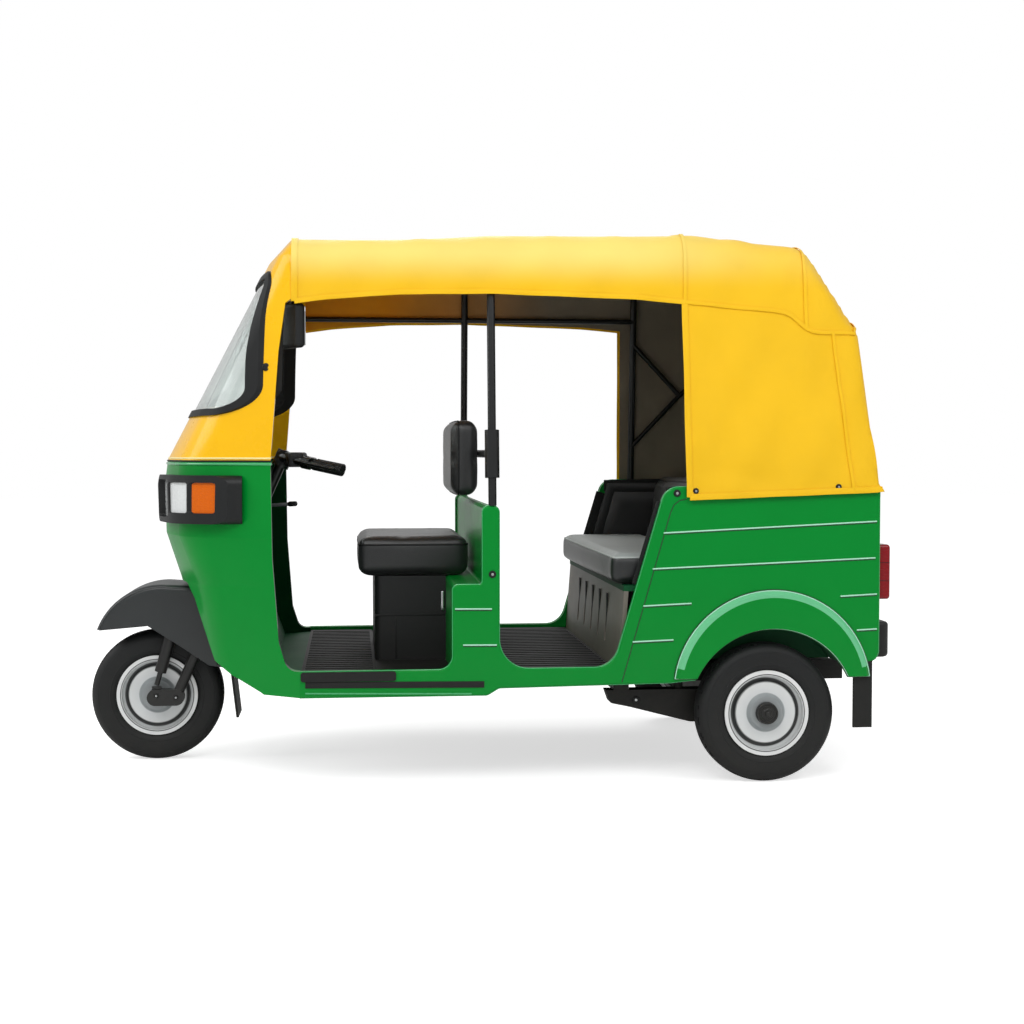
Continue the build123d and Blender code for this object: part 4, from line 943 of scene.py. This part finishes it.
driver_pad = stuffed("driver_pad", *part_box("driver_cushion"), 0.026, 0.007,
                     black_leather, "black_leather", "driver_cushion")
driver_rest = stuffed("driver_rest", *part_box("driver_backrest"), 0.030, 0.007,
                      black_leather, "black_leather", "driver_backrest")
bench_pad = stuffed("bench_pad", *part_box("rear_cushion"), 0.020, 0.008,
                    grey_leather, "grey_leather", "rear_cushion")
rest_low, rest_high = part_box("rear_backrest")
rest_lean = -0.0232 / 0.345
rest_face = Vector((rest_low.x + 0.019, rest_low.y, rest_low.z))
bench_rest = stuffed("bench_rest", rest_face, rest_high, 0.040, 0.012,
                     black_leather, "black_leather", "rear_backrest", lean=rest_lean)


# Ways of making the wheels and the small hard pieces
def turned(section, axle, steps, sweep=2 * pi):
    """Section of radius and width points drawn out point by point and spun about an axle along y."""
    clear_selection()
    bpy.ops.mesh.primitive_plane_add(size=0.01)
    piece = bpy.context.object
    bpy.ops.object.mode_set(mode="EDIT")
    bpy.ops.mesh.select_mode(type="VERT")
    bpy.ops.mesh.merge(type="CENTER")
    spot = Vector()
    for number, (radius, width) in enumerate(section):
        step = Vector((0, width, radius)) - spot
        spot += step
        if number:
            bpy.ops.mesh.extrude_region_move(TRANSFORM_OT_translate={"value": step})
        else:
            bpy.ops.transform.translate(value=step)
    bpy.ops.mesh.select_all(action="SELECT")
    bpy.ops.mesh.spin(steps=steps, angle=sweep, center=(0, 0, 0), axis=sideways)
    bpy.ops.mesh.select_all(action="SELECT")
    bpy.ops.mesh.remove_doubles(threshold=0.00002)
    if sweep < 2 * pi:
        bpy.ops.mesh.fill_holes(sides=0)
        bpy.ops.transform.rotate(value=-sweep / 2, orient_axis="Y", center_override=(0, 0, 0))
    bpy.ops.mesh.normals_make_consistent(inside=False)
    bpy.ops.object.mode_set(mode="OBJECT")
    piece.location = axle
    return piece


def mesh_copy(piece):
    """New object with a copy of a piece's mesh."""
    twin = bpy.data.objects.new(piece.name + "_copy", piece.data.copy())
    twin.data.materials.clear()
    bpy.context.scene.collection.objects.link(twin)
    return twin


def bead_round(piece, place, normal, radius, sides=3):
    """Round bead along the line where a plane cuts a copy of a piece."""
    bead = mesh_copy(piece)
    work_on(bead)
    bpy.ops.object.mode_set(mode="EDIT")
    bpy.ops.mesh.select_mode(type="VERT")
    bpy.ops.mesh.select_all(action="SELECT")
    bpy.ops.mesh.remove_doubles(threshold=0.00005)
    bpy.ops.mesh.select_all(action="SELECT")
    bpy.ops.mesh.bisect(plane_co=place, plane_no=normal, clear_inner=True, clear_outer=True)
    bpy.ops.mesh.select_all(action="SELECT")
    bpy.ops.mesh.remove_doubles(threshold=0.0008)
    bpy.ops.object.mode_set(mode="OBJECT")
    bpy.ops.object.convert(target="CURVE")
    bead.data.bevel_depth = radius
    bead.data.bevel_resolution = sides
    bead.data.use_fill_caps = True
    bpy.ops.object.convert(target="MESH")
    return bpy.context.object


def side_beads(left, right, y, radius):
    """Beads where upright planes cut a left and a right piece."""
    return joined([bead_round(nodes[node], (0, side * y, 0), sideways, radius, sides=2)
                   for node, side in ((left, 1), (right, -1))])


def block(size, soft, segments=2):
    """Block with rounded edges."""
    clear_selection()
    bpy.ops.mesh.primitive_cube_add(size=1)
    piece = bpy.context.object
    piece.scale = size
    bpy.ops.object.transform_apply(location=False, rotation=False, scale=True)
    add_modifier(piece, "BEVEL", width=soft, segments=segments)
    apply_all(piece)
    return piece


def bar(start, end, across, tall, soft=0.0008):
    """Straight bar between two points."""
    run = end - start
    piece = block((run.length, across, tall), soft)
    piece.location = (start + end) / 2
    piece.rotation_euler = run.to_track_quat("X", "Z").to_euler()
    return piece


def studs(name, places, radius, body, core=bright_steel):
    """Studs: a domed ring with its own middle, at places with a turn from facing left, in degrees."""
    # columns: share of the radius, height
    section = ((0.0, 0.0035), (0.35, 0.0038), (0.42, 0.0028), (0.52, 0.0028), (0.62, 0.0042),
               (0.85, 0.0036), (1.0, 0.0))
    middle = 0.4 * radius
    ring = turned(section, (0, 0, 0), 20)
    ring.scale = (radius, 1, radius)
    work_on(ring)
    bpy.ops.object.transform_apply(location=False, rotation=False, scale=True)
    ring.data.materials.append(black_plastic)
    ring.data.materials.append(core)
    for face in ring.data.polygons:
        face.material_index = int(hypot(face.center.x, face.center.z) < middle)
    made = []
    for place, turn in places:
        made.append(copied(ring, place))
        made[-1].rotation_euler = (0, 0, radians(turn))
    bpy.data.objects.remove(ring)
    return settle(joined(made), name, None, body, angle=50)


def from_left(piece, x, z):
    """Point where a level look from the left meets a piece."""
    return meet(piece, (x, 2, z), (0, -1, 0))


def from_behind(piece, y, z):
    """Point where a level look from behind meets a piece."""
    return meet(piece, (-3, y, z), (1, 0, 0))


def pair(spot):
    """Stud places for a spot on the left and its mirrored one."""
    return [(spot, 0), (Vector((spot.x, -spot.y, spot.z)), 180)]


# Tyres and wheels
# columns: radius, half width, from the bead over the sidewall to the middle of the tread
tyre_half_section = (
    (0.1275, 0.0380), (0.1390, 0.0380), (0.1435, 0.0425), (0.1500, 0.0465), (0.1570, 0.0480),
    (0.1580, 0.0490), (0.1600, 0.0490), (0.1610, 0.0485), (0.1750, 0.0497), (0.1870, 0.0500),
    (0.1955, 0.0493), (0.1962, 0.0486), (0.1976, 0.0484), (0.1983, 0.0488), (0.2050, 0.0468),
    (0.2110, 0.0432), (0.2165, 0.0378), (0.2205, 0.0315), (0.2235, 0.0255), (0.2247, 0.0185),
    (0.2200, 0.0178), (0.2200, 0.0142), (0.2248, 0.0135), (0.2250, 0.0035), (0.2203, 0.0028),
)


def tyres():
    """Ribbed tyres with notched shoulders."""
    notches = 54
    pitch = 2 * pi / notches
    section = [*tyre_half_section, *[(r, -w) for r, w in reversed(tyre_half_section)]]
    first = turned(section, (0, 0, 0), 2 * notches)

    def shoulder(face):
        """Whether a face is one of the shoulder's notches."""
        centre = face.calc_center_median()
        turn = (atan2(centre.x, centre.z) + pi + pitch / 4) % pitch
        return 0.029 > abs(centre.y) > 0.0275 and turn < pitch / 2

    pick_faces(first, shoulder)
    bpy.ops.mesh.inset(thickness=0.0012, use_individual=True)
    bpy.ops.transform.shrink_fatten(value=-0.004)
    bpy.ops.object.mode_set(mode="OBJECT")
    for name, place in (
        ("front", (front_axle_x, 0, tyre_radius)),
        ("rear_left", (rear_axle_x, wheel_y, tyre_radius)),
        ("rear_right", (rear_axle_x, -wheel_y, tyre_radius)),
    ):
        tyre = copied(first, place)
        settle(tyre, name + "_tread", tyre_rubber, name + "_wheel", angle=30)
        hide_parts(name + "_tyre")
    bpy.data.objects.remove(first)


def axle_nuts():
    """Six-sided nut with a domed end, on a ring, at the middle of each rear wheel."""
    clear_selection()
    bpy.ops.mesh.primitive_cylinder_add(vertices=6, radius=0.019, depth=0.012, rotation=(pi / 2, 0, 0))
    nut = bpy.context.object
    bpy.ops.object.transform_apply(location=False, rotation=True, scale=True)
    pick_faces(nut, lambda face: abs(face.normal.y) > 0.9)
    bpy.ops.mesh.inset(thickness=0.003)
    bpy.ops.transform.shrink_fatten(value=0.002)
    bpy.ops.mesh.inset(thickness=0.004)
    bpy.ops.mesh.extrude_region_shrink_fatten(TRANSFORM_OT_shrink_fatten={"value": 0.006})
    bpy.ops.mesh.inset(thickness=0.003)
    bpy.ops.transform.shrink_fatten(value=0.003)
    bpy.ops.object.mode_set(mode="OBJECT")
    add_modifier(nut, "BEVEL", width=0.0012, segments=2)
    apply_all(nut)
    # columns: radius, height
    section = ((0.0120, 0.0), (0.0340, 0.0), (0.0350, 0.002), (0.0340, 0.005), (0.0290, 0.006),
               (0.0270, 0.004), (0.0230, 0.004), (0.0215, 0.006), (0.0120, 0.005), (0.0120, 0.0))
    ring = turned(section, (0, 0, 0), 48)
    cap_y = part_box("rear_left_shaft")[1].y + 0.0002
    for side, name in ((1, "rear_left"), (-1, "rear_right")):
        parts = [copied(part, (rear_axle_x, side * cap_y, tyre_radius)) for part in (nut, ring)]
        if side < 0:
            parts[1].rotation_euler = (0, 0, pi)
        settle(joined(parts), name + "_axle_nut", black_paint, name + "_wheel")
    bpy.data.objects.remove(nut)
    bpy.data.objects.remove(ring)


# Body trim
def belt_beads():
    """Rolled lip of the cowl in a lighter green painted as its highlight, the black seal over it, and a pale
    line painted as the highlight on the foot of the screen surround.
    """
    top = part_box("front_cowl")[1].z
    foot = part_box("windscreen_surround")[0].z
    for name, node, z, radius, material, slot in (
        ("belt_lip_highlight", "front_cowl", top - 0.012, 0.0045, edge_highlight_green, "green_paint"),
        ("belt_seal", "front_cowl", top - 0.003, 0.0030, black_rubber, "black_rubber"),
        ("belt_highlight", "windscreen_surround", max(foot, top) + 0.006, 0.0028, highlight_yellow, "yellow_paint"),
    ):
        settle(bead_round(nodes[node], (0, 0, z), upward, radius), name, material, "body")


def wing_edges():
    """Pale line painted as the highlight on the rolled edge round each wing, and a dark line painted as the
    shadow in the gap behind it.
    """
    for name, out, radius, material in (
        # the pale bead is a painted highlight, the dark bead a painted shadow
        ("wing_edges", 0.0042, 0.0022, highlight_mint), ("wing_gap_shadows", 0.0010, 0.0050, shadow_green),
    ):
        edges = side_beads("rear_wings", "rear_wings", side_y + out, radius)
        settle(edges, name, material, "body")


def wing_shoulder_highlights():
    """Pale band painted as the highlight on the shoulder of each wing: a strip folded over its sloped edge and
    spun round the arch.
    """
    arch_centre, arch_sweep = at_rear(-0.014, 0, 0.300), radians(152)
    flat_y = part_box("rear_wings")[1].y
    # columns: radius round the arch, distance out from the wing's face
    strip = ((0.3205, -0.0088), (0.3118, 0.0003), (0.3000, 0.0003), (0.3000, -0.0006), (0.3110, -0.0006),
             (0.3200, -0.0096), (0.3205, -0.0088))
    band = turned([(radius, flat_y + out) for radius, out in strip], arch_centre, 56, arch_sweep)
    both_sides([band], "wing_shoulder_highlights", shoulder_highlight_green, "body")


def panel_edge_highlights():
    """Rolled edge round the openings of the body sides, in a lighter green painted as its highlight."""
    edges = side_beads("side_panel_left", "side_panel_right", side_y - 0.006, 0.0022)
    settle(edges, "panel_edge_highlights", edge_highlight_green, "body")


def switch_pods():
    """Switch housing beside each bend of the handlebar, a block with a raised row of buttons."""
    bend = [v.co for v in nodes["handlebar"].data.vertices if 0.140 < v.co.y < 0.190]
    centre = sum(bend, Vector()) / len(bend) + Vector((-0.038, 0.030, -0.006))
    run, back = Vector((-0.316, 0.949, 0)), Vector((-0.949, -0.316, 0))
    half_length, button_pitch, button_rise = 0.032, 0.016, Vector((0, 0, 0.006))
    made = [bar(centre - run * half_length, centre + run * half_length, 0.054, 0.050, soft=0.010)]
    for number in (-1, 0, 1):
        spot = centre + run * (number * button_pitch) + button_rise
        made.append(bar(spot + back * 0.018, spot + back * 0.031, 0.010, 0.014, soft=0.002))
    both_sides(made, "switch_pods", black_plastic, "steering")


def hand_lever():
    """Short lever on the steering column, an arm with a knob."""
    spot = meet(nodes["steering_column"], (0.2, 0, 0.880), (1, 0, 0))
    # columns: name, start and end from the column's face, thickness, rounding, material, slot
    for name, start, end, thick, soft, material, slot in (
        ("hand_lever", (0.012, 0, -0.002), (-0.072, 0.014, 0.004), 0.012, 0.004, cast_metal, "cast_metal"),
        ("lever_knob", (-0.068, 0.013, 0.004), (-0.102, 0.020, 0.006), 0.018, 0.007,
         black_plastic, "black_plastic"),
    ):
        part = bar(spot + Vector(start), spot + Vector(end), thick, thick, soft)
        settle(part, name, material, "steering")


def guard_rolls():
    """Rolled edge round each flank of the front mudguard."""
    flank_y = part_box("front_mudguard")[1].y - 0.0035
    rolls = side_beads("front_mudguard", "front_mudguard", flank_y, 0.0026)
    settle(rolls, "guard_rolls", guard_plastic, "steering")


def inner_edges():
    """Edge trims inside the body sides, along the door openings' rear edges and the belt."""
    inner = side_y - 0.031
    # columns: x and z of both ends, x ahead of the rear axle
    made = [bar(at_rear(x0, inner, z0), at_rear(x1, inner, z1), 0.006, 0.046, soft=0.002)
            for x0, z0, x1, z1 in ((0.418, 0.640, 0.338, 0.905), (0.330, 0.932, -0.100, 0.940))]
    both_sides(made, "inner_edges", black_rubber, "body")


def riser_slot_shadows():
    """Dark bars behind the slots of the bench's riser, painted as the shade seen through them."""
    slots, pitch, beside_slot = 5, 0.155, 0.030
    low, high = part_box("seat_riser")
    foot_z, look_z, head_z = low.z + 0.095, low.z + 0.17, low.z + 0.225
    made = []
    for number in range(slots):
        y = (number - slots // 2) * pitch
        x = meet(nodes["seat_riser"], (high.x + 1, y + beside_slot, look_z), (-1, 0, 0)).x
        made.append(bar(Vector((x, y, foot_z)), Vector((x, y, head_z)), 0.026, 0.003, soft=0.001))
    settle(joined(made), "riser_slot_shadows", black_rubber, "body")


def side_lines():
    """Rubber band along each sill, a lighter green line painted as the highlight on each sill's rolled lip, and
    a dark line painted as the shade in the crease beside each door opening.
    """
    # columns: name, material, slot, proud, tall, then x and z along the line, x ahead of the rear axle
    for name, material, slot, proud, tall, line in (
        ("sill_bands", black_rubber, "black_rubber", 0.003, 0.020, ((1.474, 0.341), (0.915, 0.335))),
        # pale line painted as the highlight on the sill's lip
        ("sill_lip_highlights", edge_highlight_green, "green_paint", 0.003, 0.005, ((1.474, 0.315), (0.955, 0.306))),
        # dark line painted as the shade in the crease
        ("door_crease_shadows", shadow_green, "green_paint", 0.001, 0.0035,
         ((0.268, 0.917), (0.292, 0.912), (0.310, 0.898), (0.321, 0.874), (0.476, 0.335))),
    ):
        spots = [at_rear(x, side_y + proud / 3, z) for x, z in line]
        made = [bar(start, end, proud, tall, soft=proud / 4) for start, end in zip(spots, spots[1:])]
        both_sides(made, name, material, "body")


# Pressed lines on the body sides, columns: x and z of both ends, x ahead of the rear axle
swages = (
    (0.343, 0.809, -0.355, 0.843),
    (0.378, 0.695, -0.351, 0.725),
    (0.408, 0.577, 0.252, 0.584),
    (-0.236, 0.602, -0.357, 0.608),
    (0.442, 0.463, 0.310, 0.468),
    (-0.291, 0.492, -0.358, 0.495),
    (1.007, 0.574, 0.891, 0.573),
    (0.982, 0.460, 0.875, 0.459),
)


def swage_lines():
    """Pale line painted as the highlight along each pressed line, with a dark line under it painted as its
    shadow, on both sides.
    """
    # columns: name, material, distance out, drop, thickness, height
    for name, material, out, drop, across, tall in (
        ("swage_highlights", highlight_mint, 0.0008, 0.0, 0.0026, 0.0044),
        ("stripe_shadows", shadow_green, 0.0004, 0.0044, 0.0018, 0.0038),
    ):
        made = [bar(at_rear(x0, side_y + out, z0 - drop), at_rear(x1, side_y + out, z1 - drop), across, tall)
                for x0, z0, x1, z1 in swages]
        both_sides(made, name, material, "body")


def seat_piping():
    """Piped seams of the seats, and the bench's black sides below its seam."""
    radius, bench_seam = 0.0032, 0.015
    # columns: name, pad, node, axis, distance back from the node's far face, material, slot
    for name, pad, node, axis, back, material, slot in (
        ("driver_piping", driver_pad, "driver_cushion", 2, 0.030, black_rubber, "black_leather"),
        ("rest_piping", driver_rest, "driver_backrest", 0, 0.026, black_rubber, "black_leather"),
        ("bench_piping", bench_pad, "rear_cushion", 2, bench_seam, pale_piping, "grey_leather"),
    ):
        normal, place = [0, 0, 0], [0, 0, 0]
        normal[axis] = 1
        place[axis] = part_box(node)[1][axis] - back
        settle(bead_round(pad, place, normal, radius), name, material, "body")
    seam = bead_round(bench_rest, (rest_high.x - 0.040, 0, rest_high.z), (1, 0, -rest_lean), radius)
    settle(seam, "bench_rest_piping", black_rubber, "body")
    seam_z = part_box("rear_cushion")[1].z - bench_seam
    bench_pad.data.materials.append(black_leather)
    for face in bench_pad.data.polygons:
        face.material_index = int(face.center.z < seam_z)


def side_pads():
    """Padded trims inside the body sides: a board cut to a slope, padded and sewn round with a channel."""
    low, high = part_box("side_trims")
    wall, slope, near = 0.010, 0.085, 0.001
    middle = (low + high) / 2
    clear_selection()
    bpy.ops.mesh.primitive_cube_add(size=1, location=(middle.x, high.y - wall / 2, middle.z))
    pad = bpy.context.object
    pad.scale = (high.x - low.x, wall, high.z - low.z)
    bpy.ops.object.transform_apply(location=True, rotation=False, scale=True)
    bpy.ops.object.mode_set(mode="EDIT")
    bpy.ops.mesh.select_mode(type="VERT")
    bpy.ops.mesh.select_all(action="DESELECT")
    mesh = bmesh.from_edit_mesh(pad.data)
    for v in mesh.verts:
        v.select_set(v.co.x > high.x - near and v.co.z > high.z - near)
    mesh.select_flush(True)
    bmesh.update_edit_mesh(pad.data)
    bpy.ops.transform.translate(value=(-slope, 0, 0))
    bpy.ops.object.mode_set(mode="OBJECT")
    add_modifier(pad, "BEVEL", width=0.0015, segments=2)
    apply_all(pad)
    pick_faces(pad, lambda face: face.normal.y < -0.99)
    for thickness, depth in ((0.030, 0.0), (0.004, -0.004), (0.008, 0.004), (0.040, 0.0025)):
        bpy.ops.mesh.inset(thickness=thickness, depth=depth)
    bpy.ops.object.mode_set(mode="OBJECT")
    pads = both_sides([pad], "side_pads", black_leather, "body", angle=50)
    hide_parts("side_trims")


def window_frame():
    """Rubber welt round the rear window."""
    low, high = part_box("rear_window")
    pane_wall = 0.003
    normal = (low.z - high.z, 0, high.x - low.x - pane_wall)
    settle(bead_round(nodes["rear_window"], (low + high) / 2, normal, 0.007),
           "window_welt", black_rubber, "body")


# Small fittings
def snap_studs():
    """Snap studs along the foot of the hood, and the knobs on the screen pillars."""
    snaps = []
    for x, z in ((0.241, 0.942), (-0.225, 0.954)):
        snaps += pair(from_left(hood, rear_axle_x + x, z))
    snaps += [(from_behind(hood, y, 0.972), 90) for y in (0.5, 0.17, -0.17, -0.5)]
    studs("snap_studs", snaps, 0.010, "body")
    knob = from_left(nodes["windscreen_surround"], rear_axle_x + 1.592, 1.331)
    studs("pillar_knobs", pair(knob), 0.013, "body", core=black_paint)


def bolts():
    """Bolts on the body, the fork and the mudguard, and the engine lid's latch."""
    on_body = []
    for node, x, z in (
        ("side_panel_left", 0.300, 0.935), ("side_panel_left", 0.889, 0.682), ("rear_suspension", 0.405, 0.255),
    ):
        on_body += pair(from_left(nodes[node], rear_axle_x + x, z))
    studs("body_bolts", on_body, 0.012, "body")
    on_fork = []
    for node, x, z in (
        ("front_mudguard", -0.218, 0.345), ("front_fork", -0.004, 0.232), ("front_fork", -0.070, 0.225),
    ):
        on_fork.append((from_left(nodes[node], front_axle_x + x, z), 0))
    studs("fork_bolts", on_fork, 0.009, "steering")
    latch = from_behind(nodes["engine_lid"], 0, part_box("engine_lid")[0].z + 0.025)
    studs("lid_latch", [(latch, 90)], 0.016, "engine_lid_body")


def mirror_glass():
    """Glass on the back of the outside mirror."""
    turn, set_back = radians(35), 0.018
    head = Vector((front_axle_x - 0.485, side_y - 0.107, 1.462))
    glass = block((0.004, 0.104, 0.124), 0.0015, segments=3)
    glass.location = head - Vector((cos(turn), sin(turn), 0)) * set_back
    glass.rotation_euler = (0, 0, turn)
    settle(glass, "mirror_glass", mirror_silver, "body")


def seat_box_trim():
    """Lines round the door of the driver's seat box, and its catch."""
    box_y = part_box("driver_seat_box")[1].y
    catch_y = box_y + 0.004
    lines = [
        bar(at_rear(1.014, box_y, 0.517), at_rear(1.251, box_y, 0.517), 0.003, 0.007),
        bar(at_rear(1.181, box_y, 0.370), at_rear(1.181, box_y, 0.514), 0.003, 0.006),
    ]
    settle(joined(lines), "seat_box_lines", black_rubber, "body")
    catch = bar(at_rear(1.024, catch_y, 0.532), at_rear(1.024, catch_y, 0.598), 0.010, 0.012, soft=0.004)
    settle(catch, "seat_box_catch", bright_steel, "body")


def tail_lamp_ribs():
    """Dark lines that part each tail lamp, set in a little."""
    low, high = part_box("tail_lamps")
    set_in = 0.0007
    heights = [low.z + (high.z - low.z) * share for share in (0.34, 0.67)]
    ribs = joined([bead_round(nodes["tail_lamps"], (0, 0, z), upward, 0.0010, sides=1) for z in heights])
    ribs.location.x = set_in
    settle(ribs, "tail_lamp_ribs", black_rubber, "body")


for make in (
    tyres, axle_nuts, belt_beads, wing_edges, wing_shoulder_highlights, panel_edge_highlights, switch_pods, hand_lever, guard_rolls,
    inner_edges, riser_slot_shadows, side_lines, swage_lines, seat_piping, side_pads, window_frame, snap_studs, bolts,
    mirror_glass, seat_box_trim, tail_lamp_ribs,
):
    make()
